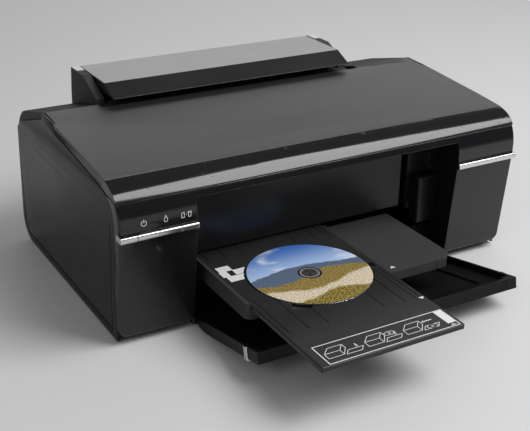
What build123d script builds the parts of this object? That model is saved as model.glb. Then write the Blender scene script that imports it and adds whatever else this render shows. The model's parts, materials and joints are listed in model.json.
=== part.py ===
"""Disc label printer: a desktop ink-jet printer with a disc tray, as separate pieces.

Millimetres. +Z is up and +X is the viewer's right, seen from the front. The front looks
along -Y. The origin lies on the table, midway between the disc tray's front edge and the
rear wall, and midway between the side panels.
"""
import os
from math import atan2, cos, hypot, pi, radians, sin, sqrt, tan

from build123d import *

os.makedirs("parts", exist_ok=True)

# ---------------------------------------------------------------- driving dimensions
WIDTH = 450.0
HALF = WIDTH / 2
REAR = 233.0  # rear wall; the disc tray's front edge is as far forward
FRONT = -52.0  # face of the pods, at the trim strips
WALL = 2.4  # moulded wall
SEAM = 0.4  # gap between neighbouring covers
CLEAR = 0.5  # gap beside a piece that slides
RUN = 0.05  # radial gap of a running fit

RECESS = 149.5  # half width of the recess between the pods
RECESS_TOP = 138.0
POD_FOOT_Z = 8.0
POD_FOOT_Y = FRONT + 9.0  # the pods lean back towards the table
STRIP_LOW, STRIP_HIGH = 109.0, 115.0
STRIP_FRONT = FRONT - 4.0
TRIM_THICK = 1.5
TRIM_REAR = FRONT + 8.0  # where the strips' outer returns end
PANEL_THICK = 2.5
BODY_HALF = HALF - PANEL_THICK - 1.0  # outside of the housings between the side panels

NOSE_SEAM = (-48.6, 144.6)  # where the cover's nose meets the front housing
NOSE_BEND = (-23.0, 157.6)  # where the nose turns into the flat top
COVER_REAR = (138.5, 169.9)
COVER_PIVOT = (117.0, 158.0)
FLANK_SWING = 14.0  # radius about the pivot where the cover's flanks end
TAIL_SWING = 24.7  # radius about the pivot that the cover's tail keeps within
FEEDER_LEFT, FEEDER_RIGHT = -163.0, 142.0
FEEDER_FRONT = 129.0

FASCIA_Y = -9.0
FASCIA_RIGHT = 110.0
PATH_LOW, PATH_HIGH = 52.0, 59.3  # the level way through which the disc tray feeds

TRAY_LEFT, TRAY_RIGHT = -131.6, 14.0
TRAY_REAR = 8.0
TRAY_TOP, TRAY_THICK = 57.0, 4.6
DISC_X, DISC_Y = -54.0, -92.0
DISC_R, DISC_HOLE_R, DISC_THICK = 60.0, 7.5, 1.2

GUIDE_LEFT, GUIDE_RIGHT = -135.5, 97.0
GUIDE_FRONT, GUIDE_REAR = -119.0, -6.0
GUIDE_LOW, GUIDE_TOP = 42.0, 51.6
ARM_LOW, ARM_HIGH = 35.5, 40.2

OUT_HALF = 146.0  # output tray
OUT_PIVOT = (-38.0, 5.0)
OUT_SLOPE = 12.1
OUT_LENGTH = 121.0
OUT_LOW, OUT_RIM = -8.5, 2.8
EXT_HALF = 133.0

FEED_ROLLER = (150.0, 44.4)
FEED_ROLLER_R = 7.3
EXIT_ROLLER = (72.0, 46.2)
EXIT_ROLLER_R = 5.2
ROLLER_GAP = 2.4  # the upper rollers stand this far clear of the way, as in disc printing
CARRIAGE_X = 150.0
CARRIAGE_WIDE = 104.0
SHAFT = (150.0, 92.0)
SHAFT_R = 5.0
BELT_Y = 161.0
BELT_Z = 110.0
PULLEY_R = 7.0
PULLEY_X = 188.0
FRAME_LEFT, FRAME_RIGHT = -201.0, 205.0
GEAR_MODULE = 1.0
GEAR_X = -213.0
GEAR_WIDE = 6.0

SUPPORT_LEFT, SUPPORT_RIGHT = -153.0, 132.0
SUPPORT_PIVOT = (214.0, 182.0)
SUPPORT_TOP = 187.0


# ---------------------------------------------------------------- helpers
def save(piece, name):
    """Label a finished piece and write it."""
    piece.part.label = name
    export_step(piece.part, f"parts/{name}.step")


def block(x, y, z, mode=Mode.ADD):
    """A box between two values on each axis, in the part that is being built."""
    with Locations(((x[0] + x[1]) / 2, (y[0] + y[1]) / 2, (z[0] + z[1]) / 2)):
        Box(x[1] - x[0], y[1] - y[0], z[1] - z[0], mode=mode)


def side_plane(x):
    """A plane across the printer's width: its x is the printer's Y, its y is Z."""
    return Plane.YZ.offset(x)


def rod(centre, radius, x, mode=Mode.ADD):
    """A round bar along X about a (y, z) centre."""
    with BuildSketch(side_plane(x[0])) as section:
        with Locations(centre):
            Circle(radius)
    extrude(section.sketch, amount=x[1] - x[0], mode=mode)


def tray_plane(x):
    """The output tray's side view: x runs forward along its slope, y square to it."""
    lean = radians(OUT_SLOPE)
    return Plane(
        origin=(x, OUT_PIVOT[0], OUT_PIVOT[1]),
        x_dir=(0, -cos(lean), sin(lean)),
        z_dir=(-1, 0, 0),
    )


def tray_block(x, u, w, mode=Mode.ADD):
    """A box in the output tray's sloping frame."""
    with BuildSketch(tray_plane(x[1])) as section:
        with Locations(((u[0] + u[1]) / 2, (w[0] + w[1]) / 2)):
            Rectangle(u[1] - u[0], w[1] - w[0])
    extrude(section.sketch, amount=x[1] - x[0], mode=mode)


def outline(*points, mode=Mode.ADD):
    """A closed straight-sided face in the sketch that is being built."""
    with BuildLine() as line:
        Polyline(*points, close=True)
    make_face(line.edges(), mode=mode)


def gear_face(teeth, phase):
    """A spur gear's face about the sketch's origin, one tooth centred on phase (radians)."""
    pitch = GEAR_MODULE * teeth / 2
    base = pitch * cos(radians(20))
    backlash = 0.16
    half = pi / (2 * teeth) - backlash / (2 * pitch) + tan(radians(20)) - radians(20)

    def flank(radius):
        if radius <= base:
            return half
        angle = atan2(sqrt(radius**2 - base**2), base)
        return half - (tan(angle) - angle)

    radii = (pitch - 1.25 * GEAR_MODULE, pitch, pitch + GEAR_MODULE)
    points = []
    for tooth in range(teeth):
        middle = phase + 2 * pi * tooth / teeth
        rising = [(r, middle - flank(r)) for r in radii]
        falling = [(r, middle + flank(r)) for r in reversed(radii)]
        points += [(r * cos(a), r * sin(a)) for r, a in rising + falling]
    outline(*points)


def meshing_phase(teeth, phase, centre, other_teeth, other_centre):
    """The phase that puts another gear in mesh with the gear given first."""
    towards = atan2(other_centre[1] - centre[1], other_centre[0] - centre[0])
    place = (towards - phase) * teeth / (2 * pi)
    return towards + pi - (0.5 - place) * 2 * pi / other_teeth


# ---------------------------------------------------------------- outlines used twice
def cover_outline(inset):
    """The cover's skin in side view: nose, bend and flat top, inset square to the skin."""
    y0, z0 = NOSE_SEAM
    yb, zb = NOSE_BEND
    y1, z1 = COVER_REAR
    with BuildLine() as line:
        nose = Spline(
            (y0 + inset, z0 + 0.6),
            (y0 + 11.0 + inset * 0.75, z0 + 7.4 - inset * 0.75),
            (yb + inset * 0.2, zb - inset),
            tangents=((0.35, 1.0), (1.0, 0.24)),
        )
        top = Spline(
            nose @ 1,
            (70.0, 165.6 - inset),
            (y1 - inset, z1 - inset),
            tangents=((1.0, 0.11), (1.0, 0.03)),
        )
        Polyline(top @ 1, (y1 - inset, z0 + 0.6), nose @ 0)
    make_face(line.edges())


def panel_outline(inset, mode=Mode.ADD):
    """A side panel's outline, inset along its front, bottom and rear edges."""
    top = [(-26.0, 144.0), (-12.0, 148.0), (48.0, 155.0), (103.04, 159.1)]
    with BuildLine() as line:
        front = Line((-36.0 + inset, 2.6 + inset), (-35.2 + inset, 46.0))
        brow = Spline(
            front @ 1,
            (-40.4 + inset, 112.0),
            (-38.0 + inset, 132.0),
            top[0],
            tangents=((-0.05, 1.0), (1.0, 0.5)),
        )
        ridge = Polyline(*top)
        # the shoulder beside the cover's tail
        swing = RadiusArc(ridge @ 1, (107.52, 168.3), FLANK_SWING)
        shoulder = Polyline(
            swing @ 1, (COVER_REAR[0], COVER_REAR[1] - 0.3), (141.0, 162.4), (214.0, 138.5),
            (225.0, 129.0),
        )
        back = Line(shoulder @ 1, (231.0 - inset, 28.0))
        heel = RadiusArc(back @ 1, (208.0, 0.8 + inset), 26.0 - inset)
        Line(heel @ 1, front @ 0)
    make_face(line.edges(), mode=mode)


# ================================================================ fixed casing
with BuildPart() as lower_housing:
    # the pan with tall side walls, notched where the open cover's tail dips
    with BuildSketch(side_plane(-BODY_HALF)):
        outline(
            (-34, 3), (228.5, 3), (228.5, 27.6), (154, 27.6), (154, 117), (121, 117),
            (121, 139), (-12, 137), (-34, 126),
        )
    extrude(amount=2 * BODY_HALF)
    heel_edge = lower_housing.edges().filter_by(Axis.X).group_by(Axis.Z)[0].sort_by(Axis.Y)[-1]
    fillet(heel_edge, 22.0)
    block((-BODY_HALF + WALL, BODY_HALF - WALL), (-31.5, 226), (5.5, 200), Mode.SUBTRACT)
    block((-BODY_HALF + WALL, BODY_HALF - WALL), (-40, -31), (14, 200), Mode.SUBTRACT)
    # the bay for the output tray, closed behind by a low wall
    block((-RECESS - 3, RECESS + 3), (-40, -33.5), (0, 60), Mode.SUBTRACT)
    block((-RECESS - 3, RECESS + 3), (-34, -12), (5.5, 60), Mode.SUBTRACT)
    block((-RECESS - 3, RECESS + 3), (-12, -9.6), (3, 32))
    # stiffening ribs on the floor
    for x in (-120, -60, 0, 60):
        block((x, x + 2), (-10, 80), (5, 12))
    for side in (-1, 1):
        # ears that carry the output tray's pins
        ear = sorted((side * (OUT_HALF + 0.6), side * (RECESS - 0.4)))
        with BuildSketch(side_plane(ear[0])):
            with BuildLine():
                lug = CenterArc(OUT_PIVOT, 3.6, 90, 180)
                Polyline(lug @ 1, (-11, 1.4), (-11, 8.6), lug @ 0)
            make_face()
        extrude(amount=ear[1] - ear[0])
        # posts that carry the cover's pivots
        post = sorted((side * (BODY_HALF - 6.5), side * (BODY_HALF - 3.0)))
        with BuildSketch(side_plane(post[0])):
            outline((100, 90), (119, 90), (123, 160), (120, 163.4), (112, 163.4), (108, 150))
        extrude(amount=post[1] - post[0])
        tie = sorted((side * (BODY_HALF - 3.2), side * (BODY_HALF - 1.0)))
        block(tie, (102, 119), (92, 136))
    rod(OUT_PIVOT, 2.0, (-RECESS, RECESS), Mode.SUBTRACT)
    rod(COVER_PIVOT, 2.5 + RUN, (-BODY_HALF + 2.8, -BODY_HALF + 7), Mode.SUBTRACT)
    rod(COVER_PIVOT, 2.5 + RUN, (BODY_HALF - 7, BODY_HALF - 2.8), Mode.SUBTRACT)
save(lower_housing, "lower_housing")

with BuildPart() as feet:
    with Locations(*[(x, y, 0) for x in (-195, 195) for y in (-18, 200)]):
        Cylinder(8, 3, align=(Align.CENTER, Align.CENTER, Align.MIN))
    fillet(feet.edges().group_by(Axis.Z)[0], 0.8)
save(feet, "feet")

with BuildPart() as front_housing:
    # band and pods as one moulding: outer form first, then hollowed from behind
    with BuildSketch(side_plane(-HALF)):
        with BuildLine():
            face = Polyline(
                (-36.5, POD_FOOT_Z), (POD_FOOT_Y, POD_FOOT_Z), (FRONT, STRIP_HIGH), (FRONT, 133)
            )
            brow = Spline(face @ 1, NOSE_SEAM, tangents=((0, 1), (0.6, 1)))
            Polyline(
                brow @ 1, (-24, NOSE_SEAM[1]), (-24, 130), (-36.5, 130), (-36.5, POD_FOOT_Z)
            )
        make_face()
    extrude(amount=WIDTH)
    corners = front_housing.edges().filter_by(Axis.Y)
    fillet(corners.group_by(Axis.Z)[0], 9.0)
    upright = front_housing.faces().filter_by(Plane.YZ).edges().filter_by(
        lambda e: e.center().Y < POD_FOOT_Y and e.length > 15
    )
    fillet(upright, 3.0)
    with BuildSketch(side_plane(-HALF + WALL)):
        with BuildLine():
            inner = Polyline(
                (-20, POD_FOOT_Z + WALL), (POD_FOOT_Y + WALL, POD_FOOT_Z + WALL),
                (FRONT + WALL, STRIP_HIGH), (FRONT + WALL, 133),
            )
            under = Spline(inner @ 1, (-46.0, NOSE_SEAM[1] - WALL), tangents=((0, 1), (0.6, 1)))
            Polyline(under @ 1, (-20, NOSE_SEAM[1] - WALL), (-20, POD_FOOT_Z + WALL))
        make_face()
    extrude(amount=WIDTH - 2 * WALL, mode=Mode.SUBTRACT)
    # the recess, its side walls and its ceiling back to the fascia
    block((-RECESS, RECESS), (-60, -30), (0, RECESS_TOP), Mode.SUBTRACT)
    for side in (-1, 1):
        wall = sorted((side * RECESS, side * (RECESS + 2.0)))
        with BuildSketch(side_plane(wall[0])):
            outline(
                (POD_FOOT_Y + 1, POD_FOOT_Z), (FRONT + 1, STRIP_HIGH), (FRONT + 1, 139.5),
                (-9.4, 139.5), (-9.4, 41), (-13, 41), (-13, POD_FOOT_Z),
            )
        extrude(amount=2.0)
        # screw bosses behind each pod
        with Locations((side * 190, -38.5, 30), (side * 190, -43.0, 90)):
            Cylinder(4, 10, rotation=(90, 0, 0))
    block((-RECESS - 1, RECESS + 1), (-47, -9.4), (RECESS_TOP, RECESS_TOP + 1.8))
    # the side panels' fronts lie over the pods' flanks
    for x in (-HALF - 1, BODY_HALF + SEAM):
        with BuildSketch(side_plane(x)):
            panel_outline(-SEAM)
        extrude(amount=PANEL_THICK + 1.6, mode=Mode.SUBTRACT)
    # the strips' returns lie in the flanks
    for side in (-1, 1):
        notch = sorted((side * (HALF - TRIM_THICK - 0.1), side * (HALF + 1)))
        block(notch, (FRONT - 2, TRIM_REAR + 0.1), (STRIP_LOW - 0.1, STRIP_HIGH + 0.1), Mode.SUBTRACT)
    # slots for the buttons
    block((-209.2, -RECESS + 3), (FRONT - 2, -44), (STRIP_LOW - 0.3, STRIP_HIGH + 0.3), Mode.SUBTRACT)
save(front_housing, "front_housing")

for name, x in (("left_side_panel", -HALF), ("right_side_panel", HALF - PANEL_THICK)):
    with BuildPart() as side_panel:
        with BuildSketch(side_plane(x)):
            panel_outline(0)
        extrude(amount=PANEL_THICK)
        outer = -HALF if x < 0 else HALF
        # a shadow groove follows the front, bottom and rear edges
        with BuildSketch(side_plane(outer - (0 if x < 0 else 0.7))):
            panel_outline(8.5)
            panel_outline(9.6, Mode.SUBTRACT)
            with Locations((100, 170)):
                Rectangle(400, 100, mode=Mode.SUBTRACT)
        extrude(amount=0.7, mode=Mode.SUBTRACT)
    save(side_panel, name)

with BuildPart() as rear_housing:
    with BuildSketch(side_plane(-BODY_HALF)):
        with BuildLine():
            wall_line = Polyline((154.5, 28.2), (REAR, 28.2), (REAR, 118))
            bend = Spline(wall_line @ 1, (222, 142), (208, 151), tangents=((0, 1), (-1, 0.33)))
            # a lip up to the cover's tail, hollowed to the circle that the tail swings on
            lip = CenterArc(COVER_PIVOT, TAIL_SWING + SEAM, 0, 27)
            Line(bend @ 1, lip @ 1)
            Polyline(lip @ 0, (154.5, 150), (154.5, 28.2))
        make_face()
    extrude(amount=2 * BODY_HALF)
    with BuildSketch(side_plane(-BODY_HALF + WALL)):
        with BuildLine():
            wall_line = Polyline((150, 20), (REAR - WALL, 20), (REAR - WALL, 118))
            bend = Spline(
                wall_line @ 1, (220.5, 140), (207.2, 148.6), tangents=((0, 1), (-1, 0.33))
            )
            Polyline(bend @ 1, (143.2, 166.4), (143.6, 160), (150, 150), (150, 20))
        make_face()
    extrude(amount=2 * (BODY_HALF - WALL), mode=Mode.SUBTRACT)
    # the gap for the sheet feeder, the disc tray's way out and the two sockets
    block((FEEDER_LEFT - 0.6, FEEDER_RIGHT + 0.6), (130, 227), (112, 200), Mode.SUBTRACT)
    block((TRAY_LEFT - 8, TRAY_RIGHT + 8), (225, 240), (PATH_LOW - 2, PATH_HIGH + 1), Mode.SUBTRACT)
    block((-199, -178), (225, 240), (70, 84), Mode.SUBTRACT)
    block((168, 181), (225, 240), (40, 52), Mode.SUBTRACT)
    # cooling slots
    with BuildSketch(Plane.XZ.offset(-REAR - 1)):
        with Locations((-150, 98)):
            with GridLocations(0, 5, 1, 5):
                SlotOverall(50, 2)
    extrude(amount=8, mode=Mode.SUBTRACT)
save(rear_housing, "rear_housing")

# ================================================================ recess
with BuildPart() as fascia:
    with BuildSketch(Plane.XZ.offset(-FASCIA_Y)):
        with Locations(((-RECESS + FASCIA_RIGHT) / 2 + 0.2, (PATH_HIGH + RECESS_TOP) / 2)):
            RectangleRounded(RECESS + FASCIA_RIGHT - 0.8, RECESS_TOP - PATH_HIGH - 0.4, 1.5)
    extrude(amount=-WALL)
    # returns along the bottom and the right edge, and ribs behind
    block((-148, 108), (FASCIA_Y + 1, FASCIA_Y + 9), (PATH_HIGH + 0.4, PATH_HIGH + 2.4))
    block((107, FASCIA_RIGHT - 0.2), (FASCIA_Y + 1, FASCIA_Y + 14), (62, 136))
    for x in (-100, -40, 20, 80):
        block((x, x + 1.8), (FASCIA_Y + 2, FASCIA_Y + 9), (PATH_HIGH + 1, 134))
    fillet(fascia.faces().sort_by(Axis.Y)[0].edges(), 0.5)
save(fascia, "fascia")

with BuildPart() as recess_end_panel:
    block((118, RECESS - 0.4), (FASCIA_Y, FASCIA_Y + WALL), (63, 137.6))
    block((118, 123.6), (FASCIA_Y - 3, FASCIA_Y + WALL), (55, 63.2))
    block((118, 120), (FASCIA_Y + 1, FASCIA_Y + 14), (60, 136))
save(recess_end_panel, "recess_end_panel")

with BuildPart() as recess_end_block:
    with BuildSketch(Plane.XY.offset(41)):
        with Locations(((124 + RECESS - 0.4) / 2, -15.8)):
            Rectangle(RECESS - 0.4 - 124, 12.6)
    extrude(amount=51.5)
    shaft_edge = recess_end_block.edges().filter_by(Axis.Z).group_by(Axis.Y)[0].sort_by(Axis.X)[0]
    fillet(shaft_edge, 2.5)
    fillet(recess_end_block.faces().sort_by(Axis.Z)[-1].edges().group_by(Axis.Y)[0], 1.0)
save(recess_end_block, "recess_end_block")

# ================================================================ trim and buttons
BUTTON_EDGES = (-209.0, -188.3, -166.9, -RECESS)
BUTTON_GAP = 0.35
for name, left, right in zip(
    ("power_button", "ink_button", "paper_button"), BUTTON_EDGES[:-1], BUTTON_EDGES[1:]
):
    with BuildPart() as button:
        with BuildSketch(side_plane(left + BUTTON_GAP)) as section:
            with Locations(((STRIP_FRONT + FRONT + 3) / 2, (STRIP_LOW + STRIP_HIGH) / 2)):
                Rectangle(FRONT + 3 - STRIP_FRONT, STRIP_HIGH - STRIP_LOW)
            fillet(section.vertices().group_by(Axis.X)[0], 1.6)
        extrude(amount=right - left - BUTTON_GAP)
        # a plunger behind the cap carries a retaining flange
        middle = (left + right) / 2
        block((middle - 3, middle + 3), (FRONT + 3, -40), (STRIP_LOW + 1, STRIP_HIGH - 1))
        block((middle - 5, middle + 5), (-46.6, -44.6), (STRIP_LOW - 1.5, STRIP_HIGH + 1.5))
    save(button, name)

with BuildPart() as button_carrier:
    # the moulding that guides the three plungers
    block((-212, -153), (-43.4, -41.4), (100, 124))
    for left, right in zip(BUTTON_EDGES[:-1], BUTTON_EDGES[1:]):
        middle = (left + right) / 2
        block(
            (middle - 3.4, middle + 3.4), (-45, -40), (STRIP_LOW + 0.6, STRIP_HIGH - 0.6),
            Mode.SUBTRACT,
        )
save(button_carrier, "button_carrier")

with BuildPart() as pod_trims:
    # the fixed end of the left strip, and the whole right strip with its return
    for left, right in ((-HALF, BUTTON_EDGES[0] - 0.1), (RECESS - 0.9, HALF)):
        with BuildSketch(side_plane(left)) as section:
            with Locations(((STRIP_FRONT + FRONT) / 2, (STRIP_LOW + STRIP_HIGH) / 2)):
                Rectangle(FRONT - STRIP_FRONT, STRIP_HIGH - STRIP_LOW)
            fillet(section.vertices().group_by(Axis.X)[0], 1.6)
        extrude(amount=right - left)
    block((RECESS - 0.9, RECESS - 0.05), (FRONT, FRONT + 9), (STRIP_LOW, STRIP_HIGH))
    for side in (-1, 1):
        wrap = sorted((side * (HALF - TRIM_THICK), side * HALF))
        block(wrap, (FRONT - 0.1, TRIM_REAR), (STRIP_LOW, STRIP_HIGH))
save(pod_trims, "pod_trims")

# ================================================================ printer cover
with BuildPart() as printer_cover:
    with BuildSketch(side_plane(-BODY_HALF)):
        cover_outline(0)
    extrude(amount=2 * BODY_HALF)
    with BuildSketch(side_plane(-BODY_HALF + 2.0)):
        cover_outline(2.2)
    extrude(amount=2 * (BODY_HALF - 2.0), mode=Mode.SUBTRACT)
    # open underneath, with skirts that narrow to the rear
    with BuildSketch(side_plane(-BODY_HALF)):
        outline(
            (-60, 100), (-60, NOSE_SEAM[1] + 0.6), (-38, NOSE_SEAM[1] + 0.6), (-20, 149), (104, 157),
            (112, 151.5), (122, 151.5), (130, 162), (COVER_REAR[0] + 5, 166.8),
            (COVER_REAR[0] + 5, 100),
        )
    extrude(amount=2 * BODY_HALF, mode=Mode.SUBTRACT)
    # cut back round the sheet feeder
    block((FEEDER_LEFT - 3, FEEDER_RIGHT + 3), (FEEDER_FRONT, 160), (100, 200), Mode.SUBTRACT)
    block((-BODY_HALF + 1, BODY_HALF - 1), (COVER_REAR[0] - 3, 160), (100, 167.6), Mode.SUBTRACT)
    # flanks out to the full width, over the side panels' top edges
    for side in (-1, 1):
        flank = sorted((side * (BODY_HALF - 1.2), side * (HALF - 0.2)))
        with BuildSketch(side_plane(flank[0])):
            cover_outline(0)
            outline(
                (-60, NOSE_SEAM[1] + 0.6), (-28, NOSE_SEAM[1] + 0.6), (-12, 149), (48, 156),
                (108, 160.4), (108, 175), (-60, 175), mode=Mode.INTERSECT,
            )
            with Locations(COVER_PIVOT):
                Circle(FLANK_SWING + 0.4, mode=Mode.SUBTRACT)
        extrude(amount=flank[1] - flank[0])
    # stiffening ribs inside the skin
    for x in (-130, -45, 45, 130):
        with BuildSketch(side_plane(x)):
            outline((-30, 151), (-26, 157.2), (115, 166), (115, 163), (-10, 154))
        extrude(amount=1.6)
    # pivot stubs
    for side in (-1, 1):
        stub = sorted((side * (BODY_HALF - 1.0), side * (BODY_HALF - 6.5)))
        rod(COVER_PIVOT, 2.5, stub)
save(printer_cover, "printer_cover")

# ================================================================ output tray
PIN_R = 2.0
with BuildPart() as output_tray:
    # side view: rim, floor and rolled front corners
    with BuildSketch(tray_plane(OUT_HALF)):
        with Locations(((6 + OUT_LENGTH) / 2, (OUT_LOW + OUT_RIM) / 2)):
            Rectangle(OUT_LENGTH - 6, OUT_RIM - OUT_LOW)
    extrude(amount=2 * OUT_HALF)
    # the basin, open to the front between the end caps, with a step up to its rear edge
    tray_block((-OUT_HALF + 3, OUT_HALF - 3), (17, OUT_LENGTH - 8), (OUT_LOW + 2, 10), Mode.SUBTRACT)
    tray_block((-OUT_HALF + 3, OUT_HALF - 3), (8.5, 18), (OUT_LOW + 5, 10), Mode.SUBTRACT)
    tray_block(
        (-EXT_HALF - 0.4, EXT_HALF + 0.4), (OUT_LENGTH - 9, OUT_LENGTH + 5), (-20, 10),
        Mode.SUBTRACT,
    )
    for side in (-1, 1):
        # rails that hold the extension down
        rail = sorted((side * 123.0, side * 143.2))
        tray_block(rail, (16, OUT_LENGTH - 9), (OUT_LOW + 1.9, OUT_LOW + 5.2))
        lip = sorted((side * 118.0, side * 124.0))
        tray_block(lip, (16, OUT_LENGTH - 9), (OUT_LOW + 5.0, OUT_LOW + 6.6))
        # hinge ears
        ear = sorted((side * (OUT_HALF - 6), side * OUT_HALF))
        with BuildSketch(tray_plane(ear[1])):
            with BuildLine():
                lug = CenterArc((0, 0), 3.8, 90, 180)
                Polyline(lug @ 1, (9, -3.8), (9, 2.8), (5, 3.8), lug @ 0)
            make_face()
        extrude(amount=6)
    rod(OUT_PIVOT, PIN_R + RUN, (-OUT_HALF - 1, OUT_HALF + 1), Mode.SUBTRACT)
    # the rear underside is cut level, clear of the table
    block((-OUT_HALF - 1, OUT_HALF + 1), (FRONT - 60, 20), (-10, 0.9), Mode.SUBTRACT)
save(output_tray, "output_tray")

with BuildPart() as tray_extension:
    tray_block((-122, 122), (24, OUT_LENGTH - 4), (OUT_LOW + 2.2, OUT_LOW + 4.7))
    # the front lip with its ramp
    with BuildSketch(tray_plane(EXT_HALF)):
        outline(
            (OUT_LENGTH - 8, OUT_LOW), (OUT_LENGTH, OUT_LOW), (OUT_LENGTH, OUT_RIM + 0.2),
            (OUT_LENGTH - 3, OUT_RIM + 0.5), (OUT_LENGTH - 8, OUT_RIM - 1.5),
        )
    extrude(amount=2 * EXT_HALF)
    with BuildSketch(tray_plane(117)):
        outline(
            (OUT_LENGTH - 26, OUT_LOW + 4.6), (OUT_LENGTH - 7, OUT_LOW + 4.6),
            (OUT_LENGTH - 7, OUT_RIM - 1.0),
        )
    extrude(amount=234)
    # finger hollow under the lip
    tray_block((-22, 22), (OUT_LENGTH - 4, OUT_LENGTH + 1), (OUT_LOW - 1, OUT_LOW + 4), Mode.SUBTRACT)
save(tray_extension, "tray_extension")

with BuildPart() as tray_hinge_pins:
    for side in (-1, 1):
        pin = sorted((side * (OUT_HALF - 7.5), side * (RECESS - 0.4)))
        rod(OUT_PIVOT, PIN_R, pin)
save(tray_hinge_pins, "tray_hinge_pins")

with BuildPart() as tray_trim:
    strip = (OUT_LENGTH - 23, OUT_LENGTH - 17)
    tray_block((-OUT_HALF - 1.4, OUT_HALF + 1.4), strip, (OUT_LOW - 1.6, OUT_LOW - 0.05))
    for side in (-1, 1):
        wrap = sorted((side * (OUT_HALF + 0.05), side * (OUT_HALF + 1.4)))
        tray_block(wrap, strip, (OUT_LOW - 1.0, OUT_RIM))
save(tray_trim, "tray_trim")

# ================================================================ disc guide and tray
with BuildPart() as disc_guide:
    with BuildSketch(Plane.XY.offset(GUIDE_LOW)) as plan:
        outline(
            (GUIDE_LEFT, GUIDE_FRONT), (GUIDE_RIGHT - 10, GUIDE_FRONT),
            (GUIDE_RIGHT, GUIDE_FRONT + 11), (GUIDE_RIGHT, GUIDE_REAR), (GUIDE_LEFT, GUIDE_REAR),
        )
        fillet(plan.vertices().group_by(Axis.X)[0].sort_by(Axis.Y)[0], 8)
    extrude(amount=GUIDE_TOP - GUIDE_LOW)
    # the left wall beside the disc tray
    with BuildSketch(Plane.XY.offset(GUIDE_TOP - 0.1)) as plan:
        outline(
            (GUIDE_LEFT, GUIDE_FRONT), (TRAY_LEFT - CLEAR, GUIDE_FRONT),
            (TRAY_LEFT - CLEAR, GUIDE_REAR), (GUIDE_LEFT, GUIDE_REAR),
        )
        fillet(plan.vertices().group_by(Axis.X)[0].sort_by(Axis.Y)[0], 3)
    extrude(amount=58.3 - GUIDE_TOP + 0.1)
    # the ridge on its other side
    block((TRAY_RIGHT + CLEAR, 18.8), (GUIDE_FRONT, GUIDE_REAR), (GUIDE_TOP - 0.1, 54.2))
    # hollow underneath
    block((GUIDE_LEFT + 2, GUIDE_RIGHT - 2), (GUIDE_FRONT + 13, GUIDE_REAR - 2), (40, 49.4), Mode.SUBTRACT)
    for x in (-60, 17):
        block((x, x + 1.8), (GUIDE_FRONT + 12, GUIDE_REAR - 1), (GUIDE_LOW + 1, 50))
    # arms that run back in the fixed rails
    for arm in ((-135.0, -129.4), (90.0, 95.6)):
        block(arm, (GUIDE_REAR - 14, GUIDE_REAR), (ARM_LOW, GUIDE_LOW + 4))
        block(arm, (GUIDE_REAR - 14, 54), (ARM_LOW, ARM_HIGH))
    # seam of the cap at the right-hand end
    block((75, 75.7), (GUIDE_FRONT - 1, GUIDE_FRONT + 0.6), (40, 60), Mode.SUBTRACT)
save(disc_guide, "disc_guide")

with BuildPart() as guide_rails:
    # a C-shaped channel with two feet under each arm
    for x in ((-139.5, -128.0), (88.6, 100.1)):
        block(x, (-9, 138), (ARM_LOW - 2.4, ARM_LOW - 0.3))
        outside = (x[0], x[0] + 2.4) if x[0] < 0 else (x[1] - 2.4, x[1])
        block(outside, (-9, 138), (ARM_LOW - 2.4, ARM_HIGH + 0.5))
        block(x, (-3, 10), (5.5, ARM_LOW - 1))
        block(x, (122, 135), (5.5, ARM_LOW - 1))
save(guide_rails, "guide_rails")

with BuildPart() as disc_tray:
    block((TRAY_LEFT, TRAY_RIGHT), (-REAR, TRAY_REAR), (TRAY_TOP - TRAY_THICK, TRAY_TOP))
    fillet(disc_tray.edges().filter_by(Axis.Z), 1.5)
    chamfer(disc_tray.faces().sort_by(Axis.Z)[-1].edges().filter_by(Axis.Y), 0.8)
    # the disc's seat and the finger hollows at its edge
    with BuildSketch(Plane.XY.offset(TRAY_TOP)):
        with Locations((DISC_X, DISC_Y)):
            Circle(DISC_R + 0.4)
    extrude(amount=-0.6, mode=Mode.SUBTRACT)
    with BuildSketch(Plane.XY.offset(TRAY_TOP)):
        with Locations((DISC_X - 37, DISC_Y - 47)):
            Ellipse(14, 9, rotation=40)
        with Locations((DISC_X + 58, DISC_Y - 12)):
            RectangleRounded(12, 9, 2)
    extrude(amount=-2.4, mode=Mode.SUBTRACT)
    # shallow grooves along the tray
    for x in (-126.5, -108.0, -88.0, -30.0, -8.0, 3.5, 8.5):
        block((x, x + 0.9), (-REAR + 56, DISC_Y - 20), (TRAY_TOP - 0.5, TRAY_TOP + 1), Mode.SUBTRACT)
        block((x, x + 0.9), (DISC_Y + 64, TRAY_REAR - 4), (TRAY_TOP - 0.5, TRAY_TOP + 1), Mode.SUBTRACT)
    # hollow side strips underneath let it run on the guide's floor
    for x in (-100, -50, -10):
        block((x, x + 3), (-REAR + 10, TRAY_REAR - 10), (50, TRAY_TOP - TRAY_THICK + 1), Mode.SUBTRACT)
save(disc_tray, "disc_tray")

with BuildPart() as disc_hub:
    with Locations((DISC_X, DISC_Y, TRAY_TOP - 0.6)):
        Cylinder(DISC_HOLE_R - 0.25, 2.0, align=(Align.CENTER, Align.CENTER, Align.MIN))
    top = disc_hub.faces().sort_by(Axis.Z)[-1]
    chamfer(top.edges(), 0.6)
    with BuildSketch(Plane.XY.offset(TRAY_TOP + 2)):
        with Locations((DISC_X, DISC_Y)):
            with PolarLocations(4.4, 3):
                Rectangle(6, 1.0)
    extrude(amount=-1.6, mode=Mode.SUBTRACT)
save(disc_hub, "disc_hub")

with BuildPart() as disc:
    with BuildSketch(Plane.XY.offset(TRAY_TOP - 0.55)):
        with Locations((DISC_X, DISC_Y)):
            Circle(DISC_R)
            Circle(DISC_HOLE_R, mode=Mode.SUBTRACT)
    extrude(amount=DISC_THICK)
save(disc, "disc")

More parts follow.
